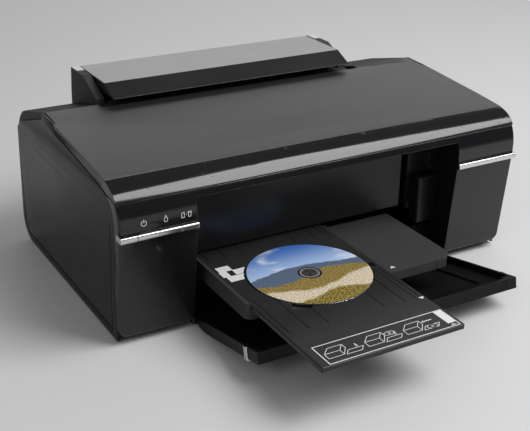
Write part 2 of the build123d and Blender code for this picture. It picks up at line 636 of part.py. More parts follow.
# ================================================================ steel frame and print mechanism
# layout of the gear train at the left-hand end
FEED_TEETH, IDLER_TEETH, EXIT_TEETH, PINION_TEETH = 48, 44, 24, 14


def pitch_distance(first, second):
    """Distance between the centres of two gears in mesh."""
    return GEAR_MODULE * (first + second) / 2


span = hypot(EXIT_ROLLER[0] - FEED_ROLLER[0], EXIT_ROLLER[1] - FEED_ROLLER[1])
near, far = pitch_distance(FEED_TEETH, IDLER_TEETH), pitch_distance(IDLER_TEETH, EXIT_TEETH)
along = (near**2 - far**2 + span**2) / (2 * span)
drop = sqrt(near**2 - along**2)
way = ((EXIT_ROLLER[0] - FEED_ROLLER[0]) / span, (EXIT_ROLLER[1] - FEED_ROLLER[1]) / span)
IDLER = (
    FEED_ROLLER[0] + along * way[0] - drop * way[1],
    FEED_ROLLER[1] + along * way[1] + drop * way[0],
)
PINION_ANGLE = radians(-20)
pinion_reach = pitch_distance(FEED_TEETH, PINION_TEETH)
PINION = (
    FEED_ROLLER[0] + pinion_reach * cos(PINION_ANGLE),
    FEED_ROLLER[1] + pinion_reach * sin(PINION_ANGLE),
)
idler_phase = meshing_phase(FEED_TEETH, 0.0, FEED_ROLLER, IDLER_TEETH, IDLER)
exit_phase = meshing_phase(IDLER_TEETH, idler_phase, IDLER, EXIT_TEETH, EXIT_ROLLER)
pinion_phase = meshing_phase(FEED_TEETH, 0.0, FEED_ROLLER, PINION_TEETH, PINION)

with BuildPart() as main_frame:
    # one folded sheet: back plate with a top flange, and two cheeks
    block((FRAME_LEFT, FRAME_RIGHT), (170, 171.4), (62, 134))
    block((FRAME_LEFT, FRAME_RIGHT), (156, 171.4), (134, 135.4))
    for x in (FRAME_LEFT, FRAME_RIGHT - 1.4):
        with BuildSketch(side_plane(x)):
            outline(
                (62, 8), (192, 8), (192, 60), (171.4, 66), (171.4, 135.4), (155, 135.4),
                (128, 114), (112, 96), (62, 70),
            )
        extrude(amount=1.4)
    rod(FEED_ROLLER, 4 + RUN, (FRAME_LEFT - 2, FRAME_RIGHT + 2), Mode.SUBTRACT)
    rod(EXIT_ROLLER, 3 + RUN, (FRAME_LEFT - 2, FRAME_RIGHT + 2), Mode.SUBTRACT)
    # the carriage motor's shaft comes through the back plate
    with Locations((PULLEY_X, 170.7, BELT_Z)):
        Cylinder(4, 6, rotation=(90, 0, 0), mode=Mode.SUBTRACT)
    # studs riveted to the frame for the belt's idler pulley and the idler gear
    with Locations((-PULLEY_X, 170, BELT_Z)):
        Cylinder(1.5, 14.5, rotation=(90, 0, 0), align=(Align.CENTER, Align.CENTER, Align.MIN))
    rod(IDLER, 2.0, (GEAR_X - 1, FRAME_LEFT))
    # lightening holes in the back plate
    with BuildSketch(Plane.XZ.offset(-160)):
        with Locations((0, 82)):
            with GridLocations(76, 0, 5, 1):
                RectangleRounded(44, 22, 4)
    extrude(amount=-20, mode=Mode.SUBTRACT)
save(main_frame, "main_frame")

with BuildPart() as carriage_shaft:
    rod(SHAFT, SHAFT_R, (FRAME_LEFT + 1.5, FRAME_RIGHT - 1.5))
save(carriage_shaft, "carriage_shaft")

HALF_CARRIAGE = CARRIAGE_WIDE / 2
HATCH_PIVOT = (138.0, 104.0)
with BuildPart() as carriage:
    left, right = CARRIAGE_X - HALF_CARRIAGE, CARRIAGE_X + HALF_CARRIAGE
    block((left, right), (80, 144), (66.5, 96))
    fillet(carriage.edges().filter_by(Axis.Z), 4)
    block((left + 3, right - 3), (83, 139), (70, 100), Mode.SUBTRACT)
    # walls between the cartridges
    pitch = (CARRIAGE_WIDE - 6) / 6
    for n in range(1, 6):
        block((left + 3 + n * pitch - 0.6, left + 3 + n * pitch + 0.6), (82, 140), (69, 84))
    # bearing bosses on the shaft
    for x in (left, right - 16):
        with BuildSketch(side_plane(x)):
            with Locations(SHAFT):
                Circle(9)
            with Locations((145, 84)):
                Rectangle(8, 18)
        extrude(amount=16)
    # the jaw that grips the belt's lower run
    low = BELT_Z - PULLEY_R
    block((CARRIAGE_X - 8, CARRIAGE_X + 8), (154, 168), (low - 4.4, low + 2.6))
    block((CARRIAGE_X - 8, CARRIAGE_X + 8), (140, 156), (84, low - 0.4))
    block((CARRIAGE_X - 20, CARRIAGE_X + 20), (157.4, 164.6), (low - 1.9, low + 0.5), Mode.SUBTRACT)
    rod(SHAFT, SHAFT_R + RUN, (left - 1, right + 1), Mode.SUBTRACT)
    # the hatch's pin and the two ears that hold it
    rod(HATCH_PIVOT, 1.5, (left + 1, right - 1))
    for x in (left + 0.4, right - 3.4):
        with BuildSketch(side_plane(x)):
            with Locations(HATCH_PIVOT):
                Circle(2.6)
            with Locations((HATCH_PIVOT[0], 99)):
                Rectangle(4.4, 10)
        extrude(amount=3)
save(carriage, "carriage")

with BuildPart() as print_head:
    block((CARRIAGE_X - 26, CARRIAGE_X + 26), (94, 128), (61.4, 66.4))
    chamfer(print_head.faces().sort_by(Axis.Z)[0].edges(), 1.0)
save(print_head, "print_head")

with BuildPart() as ink_cartridges:
    with BuildSketch(Plane.XY.offset(70.2)):
        with Locations((CARRIAGE_X, 111)):
            with GridLocations(pitch, 0, 6, 1):
                RectangleRounded(pitch - 1.6, 54, 1.5)
    extrude(amount=30)
    # the grip step at the front of each cartridge
    block((left, right), (80, 92), (92, 102), Mode.SUBTRACT)
save(ink_cartridges, "ink_cartridges")

with BuildPart() as cartridge_hatch:
    block((left + 4, right - 4), (84, 136), (101.2, 103.2))
    block((left + 4, right - 4), (82, 84.2), (97.5, 103.2))
    for x in (left + 4, right - 10):
        with BuildSketch(side_plane(x)):
            with Locations(HATCH_PIVOT):
                Circle(3)
            with Locations((135, 102.6)):
                Rectangle(6, 2.4)
        extrude(amount=6)
    rod(HATCH_PIVOT, 1.5 + RUN, (left, right), Mode.SUBTRACT)
save(cartridge_hatch, "cartridge_hatch")

with BuildPart() as timing_belt:
    with BuildSketch(Plane.XZ.offset(-BELT_Y + 3)):
        with Locations((0, BELT_Z)):
            SlotCenterToCenter(2 * PULLEY_X, 2 * (PULLEY_R + 1.4))
            SlotCenterToCenter(2 * PULLEY_X, 2 * (PULLEY_R + 0.3), mode=Mode.SUBTRACT)
    extrude(amount=-6)
save(timing_belt, "timing_belt")

for name, x in (("drive_pulley", PULLEY_X), ("idler_pulley", -PULLEY_X)):
    with BuildPart() as pulley:
        with BuildSketch(Plane.XZ.offset(-BELT_Y + 3.4)):
            with Locations((x, BELT_Z)):
                Circle(PULLEY_R)
                with PolarLocations(PULLEY_R, 18):
                    Circle(0.55, mode=Mode.SUBTRACT)
                Circle(1.5 + RUN, mode=Mode.SUBTRACT)
        extrude(amount=-6.8)
        with BuildSketch(Plane.XZ.offset(-BELT_Y + 4.6)):
            with Locations((x, BELT_Z)):
                Circle(PULLEY_R + 1.2)
                Circle(1.5 + RUN, mode=Mode.SUBTRACT)
        extrude(amount=-1.2)
    save(pulley, name)

with BuildPart() as carriage_motor:
    with BuildSketch(Plane.XZ.offset(-171.5)):
        with Locations((PULLEY_X, BELT_Z)):
            Circle(15)
            Rectangle(22, 30, mode=Mode.INTERSECT)
    extrude(amount=-26)
    with BuildSketch(Plane.XZ.offset(-155.5)):
        with Locations((PULLEY_X, BELT_Z)):
            Circle(1.5)
    extrude(amount=-30)
save(carriage_motor, "carriage_motor")

with BuildPart() as encoder_strip:
    block((FRAME_LEFT + 1.6, FRAME_RIGHT - 1.6), (152.4, 152.8), (118, 126))
save(encoder_strip, "encoder_strip")

with BuildPart() as platen:
    block((-126, 86), (96, 138), (38, 48))
    block((-123, 83), (99, 135), (36, 45), Mode.SUBTRACT)
    # ribs that hold the sheet flat
    for n in range(15):
        x = -124 + n * 14.8
        block((x, x + 1.6), (98, 136), (47.5, 51.4))
    for x in (-126, 82):
        block((x, x + 4), (112, 124), (5.6, 39))
save(platen, "platen")

with BuildPart() as feed_roller:
    rod(FEED_ROLLER, FEED_ROLLER_R, (-192, 196))
    rod(FEED_ROLLER, 4, (GEAR_X - 2, 208))
save(feed_roller, "feed_roller")

with BuildPart() as exit_roller:
    rod(EXIT_ROLLER, 3, (GEAR_X - 2, 208))
    for n in range(6):
        x = -110 + n * 34
        rod(EXIT_ROLLER, EXIT_ROLLER_R, (x, x + 12))
save(exit_roller, "exit_roller")

PINCH_R = 4.0
PINCH = (FEED_ROLLER[0], PATH_HIGH + ROLLER_GAP + PINCH_R)
with BuildPart() as pinch_rollers:
    rod(PINCH, 1.5, (-126, 126))
    for n in range(4):
        x = -120 + n * 64
        rod(PINCH, PINCH_R, (x, x + 44))
save(pinch_rollers, "pinch_rollers")

with BuildPart() as pinch_holder:
    # arms from the frame carry the pinch rollers' axle
    for x in (-130, -72, -8, 56, 126.5):
        with BuildSketch(side_plane(x)):
            with Locations(PINCH):
                Circle(3.4)
            outline(
                (148, PINCH[1] - 1), (152, PINCH[1] - 3), (169.8, 63.4), (169.8, 76), (158, 74),
                (149, PINCH[1] + 3),
            )
        extrude(amount=3.4)
    block((-130, 129.9), (164, 169.8), (66, 74))
    rod(PINCH, 1.5 + RUN, (-140, 140), Mode.SUBTRACT)
save(pinch_holder, "pinch_holder")

STAR = (EXIT_ROLLER[0], 67.0)
with BuildPart() as star_wheels:
    rod(STAR, 1.2, (-118, 78))
    for n in range(6):
        x = -106 + n * 34
        with BuildSketch(side_plane(x + 1.5)):
            with Locations(STAR):
                RegularPolygon(5.5, 12)
        extrude(amount=1.0)
save(star_wheels, "star_wheels")

with BuildPart() as star_wheel_bar:
    block((-126, 90), (STAR[0] - 20, STAR[0] - 8), (64, 66))
    block((-126, 90), (STAR[0] - 20, STAR[0] - 18), (60.6, 66))
    for x in (-124, -24, 84):
        with BuildSketch(side_plane(x)):
            with Locations(STAR):
                Circle(3)
            y = STAR[0]
            outline((y - 12, 64), (y + 1, 64.4), (y + 1, 69.6), (y - 12, 66))
        extrude(amount=3)
    rod(STAR, 1.2 + RUN, (-130, 95), Mode.SUBTRACT)
    # it bolts to the frame's cheeks
    block((FRAME_LEFT + 1.5, -125), (STAR[0] - 8, STAR[0] - 3), (62, 66))
    block((89, FRAME_RIGHT - 1.5), (STAR[0] - 8, STAR[0] - 3), (62, 66))
save(star_wheel_bar, "star_wheel_bar")

# the gear train at the left-hand end
for name, teeth, phase, centre, bore in (
    ("feed_gear", FEED_TEETH, 0.0, FEED_ROLLER, 4.0),
    ("idler_gear", IDLER_TEETH, idler_phase, IDLER, 2.0 + RUN),
    ("exit_gear", EXIT_TEETH, exit_phase, EXIT_ROLLER, 3.0),
    ("motor_pinion", PINION_TEETH, pinion_phase, PINION, 1.5),
):
    with BuildPart() as gear:
        with BuildSketch(Plane(origin=(GEAR_X, *centre), x_dir=(0, 1, 0), z_dir=(1, 0, 0))):
            gear_face(teeth, phase)
            Circle(bore, mode=Mode.SUBTRACT)
        extrude(amount=GEAR_WIDE)
        if name == "motor_pinion":
            # pressed on the motor's shaft
            rod(PINION, bore, (GEAR_X - 1, FRAME_LEFT - 0.3))
    save(gear, name)

with BuildPart() as feed_motor:
    rod(PINION, 14, (FRAME_LEFT + 1.5, FRAME_LEFT + 27))
save(feed_motor, "feed_motor")

with BuildPart() as capping_station:
    block((112, 192), (88, 140), (24, 40))
    block((124, 180), (98, 128), (40, 58.6))
    block((127, 177), (101, 125), (52, 60), Mode.SUBTRACT)
    block((129, 175), (103, 123), (50, 53.5))
    # the wiper blade
    block((116, 118), (98, 128), (40, 60.4))
    block((112, 192), (90, 138), (5.6, 24.5))
    block((116, 188), (94, 134), (3, 22), Mode.SUBTRACT)
save(capping_station, "capping_station")

with BuildPart() as waste_pad:
    block((-120, 80), (12, 44), (12.2, 28))
save(waste_pad, "waste_pad")

with BuildPart() as power_supply:
    block((-212, -160), (-20, 54), (6, 60))
    chamfer(power_supply.edges().filter_by(Axis.Y), 2)
save(power_supply, "power_supply")

with BuildPart() as circuit_boards:
    # the board behind the three buttons, with the domes of its switches
    block((-211, -154), (-38.6, -37.0), (101, 123))
    for left, right in zip(BUTTON_EDGES[:-1], BUTTON_EDGES[1:]):
        with Locations(((left + right) / 2, -38.6, 112)):
            Cylinder(1.6, 0.5, rotation=(90, 0, 0), align=(Align.CENTER, Align.CENTER, Align.MIN))
    # the main board stands on edge at the right-hand end
    block((208, 209.6), (-20, 205), (14, 62))
    block((206.2, 208.1), (20, 46), (24, 50))
    block((206.4, 208.1), (100, 116), (30, 44))
save(circuit_boards, "circuit_boards")

with BuildPart() as usb_socket:
    # a square data socket, open to the rear
    block((168.3, 180.7), (214, REAR), (40.3, 51.7))
    block((170.3, 178.7), (217, REAR + 1), (42.3, 49.7), Mode.SUBTRACT)
    block((172.5, 176.5), (216, REAR - 3), (42.2, 44.2))
save(usb_socket, "usb_socket")

with BuildPart() as mains_inlet:
    block((-198.7, -178.3), (208, REAR), (70.3, 83.7))
    block((-196.5, -180.5), (214, REAR + 1), (72.8, 81.2), Mode.SUBTRACT)
    for x in (-192.5, -184.5):
        with Locations((x, 214, 77)):
            Cylinder(1.2, 30, rotation=(90, 0, 0))
    block((-200, -176), (200, 260), (60, 90), Mode.INTERSECT)
    block((-200, -176), (REAR - 2, 260), (71, 83), Mode.SUBTRACT)
save(mains_inlet, "mains_inlet")

# ================================================================ sheet feeder
PICKUP = (184.0, 110.0)
HOPPER_PIVOT = (213.5, 160.0)
with BuildPart() as sheet_feeder:
    # cheeks at both ends
    for x in (FEEDER_LEFT, FEEDER_RIGHT - 8.6):
        with BuildSketch(side_plane(x)):
            outline(
                (174, 98), (226, 98), (224, 160), (221, 186.8), (186, 186.8), (150, 171.5),
                (150, 150), (156, 137.5), (174, 137.5),
            )
        extrude(amount=8.6)
    # back wall and a sloping bed between them
    with BuildSketch(side_plane(FEEDER_LEFT + 1)):
        outline(
            (226, 112), (224.4, 168), (220, 168), (205, 100), (174, 70), (174, 66), (178, 66),
            (209, 97),
        )
    extrude(amount=FEEDER_RIGHT - FEEDER_LEFT - 2)
    # front wall over the frame's flange, and the apron behind the cover
    block((FEEDER_LEFT + 1, FEEDER_RIGHT - 1), (158, 160.4), (136, 165.4))
    block((FEEDER_LEFT + 1, FEEDER_RIGHT - 1), (134.6, 160.4), (163, 165.4))
    rod(PICKUP, 3 + RUN, (FEEDER_LEFT - 1, FEEDER_RIGHT + 1), Mode.SUBTRACT)
    rod(SUPPORT_PIVOT, 2.5 + RUN, (FEEDER_LEFT + 2, FEEDER_RIGHT - 2), Mode.SUBTRACT)
    rod(HOPPER_PIVOT, 1.5 + RUN, (FEEDER_LEFT + 2, FEEDER_RIGHT - 2), Mode.SUBTRACT)
save(sheet_feeder, "sheet_feeder")

with BuildPart() as support_hinge_caps:
    for x in (FEEDER_LEFT, FEEDER_RIGHT - 8.6):
        block((x + 0.2, x + 8.4), (204, 220.5), (186.85, 187.6))
save(support_hinge_caps, "support_hinge_caps")

with BuildPart() as paper_support:
    with BuildSketch(side_plane(SUPPORT_LEFT)):
        with BuildLine():
            top = Polyline(
                (214, 176.4), (127.5, 176.4), (151, SUPPORT_TOP), (220, SUPPORT_TOP),
                (223, 184), (223, 180),
            )
            RadiusArc(top @ 1, top @ 0, 10)
        make_face()
    extrude(amount=SUPPORT_RIGHT - SUPPORT_LEFT)
    # hollow from below
    with BuildSketch(side_plane(SUPPORT_LEFT + 3)):
        outline((134, 170), (134, 176.5), (152, 184.6), (206, 184.6), (206, 170))
    extrude(amount=SUPPORT_RIGHT - SUPPORT_LEFT - 6, mode=Mode.SUBTRACT)
    for x in (SUPPORT_LEFT - 4.5, SUPPORT_RIGHT - 1):
        rod(SUPPORT_PIVOT, 2.5, (x, x + 5.5))
    # rails under the support hold the extension
    for side, x in ((-1, -122.6), (1, 104.6)):
        block((x - 2, x + 2), (150, 206), (174.4, 185))
        lip = sorted((x + side * 2, x - side * 5))
        block(lip, (150, 206), (173.0, 174.5))
save(paper_support, "paper_support")

with BuildPart() as support_extension:
    block((-119.8, 101.8), (132, 204), (174.8, 176.2))
    block((-60, 42), (131, 133.5), (174.8, 176.2))
save(support_extension, "support_extension")

with BuildPart() as hopper_plate:
    with BuildSketch(side_plane(-128)):
        outline((212.5, 160), (214.5, 160), (200.5, 104), (198.4, 104.5))
    extrude(amount=240)
    rod(HOPPER_PIVOT, 1.5, (FEEDER_LEFT + 5, FEEDER_RIGHT - 4.5))
save(hopper_plate, "hopper_plate")

with BuildPart() as edge_guide:
    with BuildSketch(side_plane(-118)):
        outline((209.5, 150), (200, 118), (194, 122), (184, 140), (190, 160), (211.5, 162))
    extrude(amount=2)
save(edge_guide, "edge_guide")

with BuildPart() as pickup_roller:
    rod(PICKUP, 3, (FEEDER_LEFT + 1, FEEDER_RIGHT - 1))
    with BuildSketch(side_plane(40)):
        with Locations(PICKUP):
            Circle(11.5)
        with Locations((PICKUP[0] + 12, PICKUP[1])):
            Rectangle(8, 26, mode=Mode.SUBTRACT)
    extrude(amount=26)
save(pickup_roller, "pickup_roller")
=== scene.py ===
"""Disc label printer: the dressed model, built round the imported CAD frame.

Everything is in metres in the frame's own axes: +Z up, -Y towards the user, +X to the
user's right. Sizes that are easier to read in millimetres carry the ending _mm.
"""

import json
import logging
import math
from dataclasses import dataclass, field
from enum import Enum
from typing import Callable, Sequence, Union

import bmesh
import bpy
from mathutils import Matrix, Vector
from mathutils.bvhtree import BVHTree

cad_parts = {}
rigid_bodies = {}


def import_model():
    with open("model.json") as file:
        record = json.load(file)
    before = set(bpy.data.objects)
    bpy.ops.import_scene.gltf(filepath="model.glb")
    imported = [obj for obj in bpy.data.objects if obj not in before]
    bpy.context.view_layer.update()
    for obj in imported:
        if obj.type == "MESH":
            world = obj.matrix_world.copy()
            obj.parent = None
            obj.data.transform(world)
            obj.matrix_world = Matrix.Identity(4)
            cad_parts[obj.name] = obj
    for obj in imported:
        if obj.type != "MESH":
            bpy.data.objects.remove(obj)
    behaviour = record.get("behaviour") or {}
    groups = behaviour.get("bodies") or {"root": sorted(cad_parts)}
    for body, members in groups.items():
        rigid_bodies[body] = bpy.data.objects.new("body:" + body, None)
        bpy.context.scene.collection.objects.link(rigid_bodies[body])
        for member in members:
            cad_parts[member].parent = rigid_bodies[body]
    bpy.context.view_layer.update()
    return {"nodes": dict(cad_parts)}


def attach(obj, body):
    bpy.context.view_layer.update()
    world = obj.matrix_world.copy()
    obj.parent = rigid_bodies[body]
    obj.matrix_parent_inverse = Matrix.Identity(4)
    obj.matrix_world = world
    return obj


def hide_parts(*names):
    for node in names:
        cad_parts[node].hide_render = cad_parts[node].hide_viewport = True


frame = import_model()

log = logging.getLogger("disc_label_printer")

MM = 0.001
Colour = tuple[float, float, float]
Point = tuple[float, float]
Place = Callable[[float, float, float], Vector]


# ---------------------------------------------------------------- node trees
class Value:
    """A node's output socket that can be used in a Python expression."""

    def __init__(self, graph: "Graph", socket: bpy.types.NodeSocket) -> None:
        """Wrap a socket.

        Args:
            graph: the tree that the socket is in.
            socket: the output socket.
        """
        self.graph = graph
        self.socket = socket

    def __add__(self, other: "Number") -> "Value":
        """Sum of two values."""
        return self.graph.maths("ADD", self, other)

    def __sub__(self, other: "Number") -> "Value":
        """Difference of two values."""
        return self.graph.maths("SUBTRACT", self, other)

    def __rsub__(self, other: "Number") -> "Value":
        """Difference, with the plain number first."""
        return self.graph.maths("SUBTRACT", other, self)

    def __mul__(self, other: "Number") -> "Value":
        """Product of two values."""
        return self.graph.maths("MULTIPLY", self, other)

    def __truediv__(self, other: "Number") -> "Value":
        """Quotient of two values."""
        return self.graph.maths("DIVIDE", self, other)

    def __pow__(self, other: "Number") -> "Value":
        """Power of a value."""
        return self.graph.maths("POWER", self, other)

    def __mod__(self, other: "Number") -> "Value":
        """What is left after whole steps of a size, always positive."""
        return self.graph.maths("FLOORED_MODULO", self, other)

    __radd__ = __add__
    __rmul__ = __mul__

    def size(self) -> "Value":
        """The value without its sign."""
        return self.graph.maths("ABSOLUTE", self)

    def wave(self) -> "Value":
        """Sine of the value."""
        return self.graph.maths("SINE", self)

    def most(self, other: "Number") -> "Value":
        """The larger of two values."""
        return self.graph.maths("MAXIMUM", self, other)

    def over(self, edge: float, soft: float) -> "Value":
        """A mask that rises smoothly as the value passes an edge.

        Args:
            edge: the value at which the mask is half.
            soft: half the width of the change.

        Returns:
            The mask, from 0 to 1.
        """
        return self.graph.ramp(self, edge - soft, edge + soft)


Number = Union[float, Value]


class Graph:
    """A node tree in which every node is made by one method."""

    def __init__(self, tree: bpy.types.NodeTree) -> None:
        """Start on an empty tree.

        Args:
            tree: the tree to fill.
        """
        self.tree = tree
        tree.nodes.clear()

    def node(
        self, kind: str, settings: dict | None = None, inputs: dict | None = None
    ) -> bpy.types.Node:
        """Make a node: its settings first, then its sockets.

        Args:
            kind: the node's type name.
            settings: attributes; the key stops gives a colour ramp's stops.
            inputs: values or links by the socket's name or number.

        Returns:
            The new node.
        """
        made = self.tree.nodes.new(kind)
        for key, value in (settings or {}).items():
            if key == "stops":
                self._set_stops(made.color_ramp, value)
            else:
                setattr(made, key, value)
        for key, value in (inputs or {}).items():
            self.feed(made.inputs[key], value)
        return made

    def feed(self, socket: bpy.types.NodeSocket, value: object) -> None:
        """Give an input socket a link or a value.

        Args:
            socket: the input socket.
            value: a Value, an output socket, a number, or a colour of three numbers.
        """
        if isinstance(value, Value):
            self.tree.links.new(value.socket, socket)
        elif isinstance(value, bpy.types.NodeSocket):
            self.tree.links.new(value, socket)
        elif socket.type == "RGBA" and len(value) == 3:
            socket.default_value = (*value, 1.0)
        else:
            socket.default_value = value

    def maths(self, operation: str, *values: Number) -> Value:
        """A Math node as a value.

        Args:
            operation: the node's operation.
            values: its one or two inputs.

        Returns:
            The node's result.
        """
        made = self.node(
            "ShaderNodeMath", {"operation": operation}, dict(enumerate(values))
        )
        return Value(self, made.outputs[0])

    def ramp(self, value: Number, low: float, high: float) -> Value:
        """A smooth step from 0 at low to 1 at high."""
        made = self.node(
            "ShaderNodeMapRange",
            {"interpolation_type": "SMOOTHSTEP"},
            {"Value": value, "From Min": low, "From Max": high},
        )
        return Value(self, made.outputs[0])

    @staticmethod
    def _set_stops(ramp: bpy.types.ColorRamp, stops: Sequence[tuple]) -> None:
        """Set a colour ramp's stops.

        Args:
            ramp: the ramp to fill.
            stops: pairs of place and colour.
        """
        while len(ramp.elements) < len(stops):
            ramp.elements.new(1.0)
        for element, (place, colour) in zip(ramp.elements, stops):
            element.position = place
            element.color = (*colour, 1.0)


class Shader(Graph):
    """A material's tree, with the textures that the finishes share."""

    def __init__(self, name: str) -> None:
        """Make an empty material.

        Args:
            name: the material's name.
        """
        self.material = bpy.data.materials.new(name)
        self.material.use_nodes = True
        super().__init__(self.material.node_tree)
        coordinates = self.node("ShaderNodeTexCoord")
        scaled = self.node(
            "ShaderNodeVectorMath",
            {"operation": "SCALE"},
            {0: coordinates.outputs["Object"], "Scale": 1.0 / MM},
        )
        self.place = scaled.outputs[0]
        self.uv = coordinates.outputs["UV"]

    def axes(self) -> tuple[Value, Value, Value]:
        """The point's X, Y and Z in millimetres."""
        parts = self.node("ShaderNodeSeparateXYZ", None, {0: self.place})
        return tuple(Value(self, socket) for socket in parts.outputs)

    def stretched(self, scale: tuple[float, float, float]) -> bpy.types.NodeSocket:
        """The point, scaled unequally along the axes."""
        made = self.node(
            "ShaderNodeVectorMath", {"operation": "MULTIPLY"}, {0: self.place, 1: scale}
        )
        return made.outputs[0]

    def noise(
        self,
        size_mm: float,
        detail: float = 2.0,
        vector: bpy.types.NodeSocket | None = None,
        distortion: float = 0.0,
    ) -> Value:
        """Soft noise from 0 to 1.

        Args:
            size_mm: the size of its patches.
            detail: how many finer layers it has.
            vector: another place than the point itself.
            distortion: how far it is swirled.

        Returns:
            The noise.
        """
        made = self.node(
            "ShaderNodeTexNoise",
            None,
            {
                "Vector": vector or self.place,
                "Scale": 1.0 / size_mm,
                "Detail": detail,
                "Distortion": distortion,
            },
        )
        return Value(self, made.outputs[0])

    def cells(self, size_mm: float) -> Value:
        """Distance to the nearest of scattered points, in cells."""
        made = self.node(
            "ShaderNodeTexVoronoi", None, {"Vector": self.place, "Scale": 1.0 / size_mm}
        )
        return Value(self, made.outputs[0])

    def mix(self, factor: Number, first: object, second: object) -> bpy.types.NodeSocket:
        """A colour between two colours.

        Args:
            factor: 0 for the first, 1 for the second.
            first: a colour or a colour socket.
            second: a colour or a colour socket.

        Returns:
            The colour socket.
        """
        made = self.node(
            "ShaderNodeMix",
            {"data_type": "RGBA", "clamp_factor": True},
            {0: factor, 6: first, 7: second},
        )
        return made.outputs[2]

    def rounding(self, radius_mm: float) -> bpy.types.NodeSocket:
        """A normal that rounds the edges of a moulding or a pressing."""
        made = self.node("ShaderNodeBevel", {"samples": 6}, {"Radius": radius_mm * MM})
        return made.outputs[0]

    def edge_wear(self, radius_mm: float) -> Value:
        """A mask of the edges, where hands and cloths have polished a piece."""
        true_normal = self.node("ShaderNodeNewGeometry").outputs["True Normal"]
        meeting = self.node(
            "ShaderNodeVectorMath",
            {"operation": "DOT_PRODUCT"},
            {0: self.rounding(radius_mm), 1: true_normal},
        )
        return (1.0 - Value(self, meeting.outputs["Value"])).over(0.16, 0.14)

    def bump(
        self, height: Number, depth_mm: float, under: bpy.types.NodeSocket | None = None
    ) -> bpy.types.NodeSocket:
        """A normal that follows a height from 0 to 1.

        Args:
            height: the height.
            depth_mm: how deep 1 is.
            under: the normal that it stands on.

        Returns:
            The normal.
        """
        inputs = {"Strength": 1.0, "Distance": depth_mm * MM, "Height": height}
        if under is not None:
            inputs["Normal"] = under
        return self.node("ShaderNodeBump", None, inputs).outputs[0]

    def surface(self, **sockets: object) -> bpy.types.Material:
        """End the tree in one Principled shader.

        Args:
            sockets: the shader's sockets by name, with _ for a space.

        Returns:
            The finished material.
        """
        named = {key.replace("_", " "): value for key, value in sockets.items()}
        if "IOR Level" in named:
            named["Specular IOR Level"] = named.pop("IOR Level")
        shader = self.node("ShaderNodeBsdfPrincipled", None, named)
        self.node("ShaderNodeOutputMaterial", None, {"Surface": shader.outputs[0]})
        return self.material


# ---------------------------------------------------------------- finishes
@dataclass(frozen=True)
class Finish:
    """A finish that a piece can have; its material is made once."""

    name: str

    def material(self) -> bpy.types.Material:
        """The material of this finish, made at its first use."""
        return bpy.data.materials.get(self.name) or self.paint(Shader(self.name))

    def paint(self, shader: Shader) -> bpy.types.Material:
        """Fill the tree.

        Args:
            shader: an empty tree.

        Returns:
            The finished material.
        """
        raise NotImplementedError


@dataclass(frozen=True)
class Moulded(Finish):
    """Moulded plastic, from polished to spark-eroded."""

    colour: Colour = (0.014, 0.014, 0.015)
    worn: Colour = (0.05, 0.05, 0.052)
    roughness: float = 0.3
    grain_mm: float = 0.5
    depth_mm: float = 0.012
    round_mm: float = 0.5
    reflection: float = 0.45
    coat: float = 0.0

    def paint(self, shader: Shader) -> bpy.types.Material:
        """Plastic with a fine texture, faint flow marks and polished edges."""
        flow = shader.noise(38.0, 3.0, distortion=0.4)
        grain = shader.noise(self.grain_mm, 3.0)
        wear = shader.edge_wear(self.round_mm)
        tone = shader.mix(wear * 0.5 + (flow - 0.5) * 0.3, self.colour, self.worn)
        rough = self.roughness + (flow - 0.5) * 0.10 + (grain - 0.5) * 0.08 - wear * 0.08
        return shader.surface(
            Base_Color=tone,
            Roughness=rough.most(0.04),
            Normal=shader.bump(grain, self.depth_mm, shader.rounding(self.round_mm)),
            IOR_Level=self.reflection,
            Coat_Weight=self.coat,
            Coat_Roughness=0.05,
        )


@dataclass(frozen=True)
class LidPlastic(Finish):
    """The lid: polished round its nose, with a fine dot pattern on its flat top."""

    dot_pitch_mm: float = 1.7
    dots_from_y_mm: float = -21.0

    def paint(self, shader: Shader) -> bpy.types.Material:
        """Raised dots in staggered rows behind the nose, high gloss in front of it."""
        x, y, z = shader.axes()
        flat = y.over(self.dots_from_y_mm, 0.8) * z.over(156.0, 1.0)
        pitch = self.dot_pitch_mm
        row_shift = ((y / (2 * pitch)) % 1.0).over(0.5, 0.001) * (pitch / 2)
        across = ((x + row_shift) % pitch) / pitch - 0.5
        along = (y % pitch) / pitch - 0.5
        radius = (across * across + along * along) ** 0.5
        dots = (1.0 - radius.over(0.30, 0.07)) * flat
        flow = shader.noise(60.0, 3.0, distortion=0.3)
        fine = shader.noise(0.4, 3.0)
        wear = shader.edge_wear(0.8)
        base = shader.mix(dots * 0.75, (0.012, 0.012, 0.013), (0.032, 0.032, 0.034))
        tone = shader.mix(wear * 0.4 + (flow - 0.5) * 0.2, base, (0.06, 0.06, 0.062))
        rough = 0.11 + flat * 0.22 + dots * 0.06 + (flow - 0.5) * 0.05 + (fine - 0.5) * 0.04
        return shader.surface(
            Base_Color=tone,
            Roughness=rough,
            Normal=shader.bump(dots + fine * 0.05, 0.05, shader.rounding(0.8)),
            IOR_Level=0.5,
        )


@dataclass(frozen=True)
class FlakePaint(Finish):
    """Metallic paint with small flakes."""

    colour: Colour = (0.33, 0.33, 0.33)
    flake_mm: float = 0.25
    roughness: float = 0.38

    def paint(self, shader: Shader) -> bpy.types.Material:
        """Silver paint whose flakes differ a little in tone."""
        flakes = shader.cells(self.flake_mm)
        cloud = shader.noise(45.0, 2.0)
        tone = shader.mix(flakes * 0.5 + cloud * 0.25, self.colour, (0.52, 0.52, 0.52))
        return shader.surface(
            Base_Color=tone,
            Metallic=0.55,
            Roughness=self.roughness + (cloud - 0.5) * 0.08,
            Normal=shader.bump(flakes, 0.008, shader.rounding(0.4)),
        )


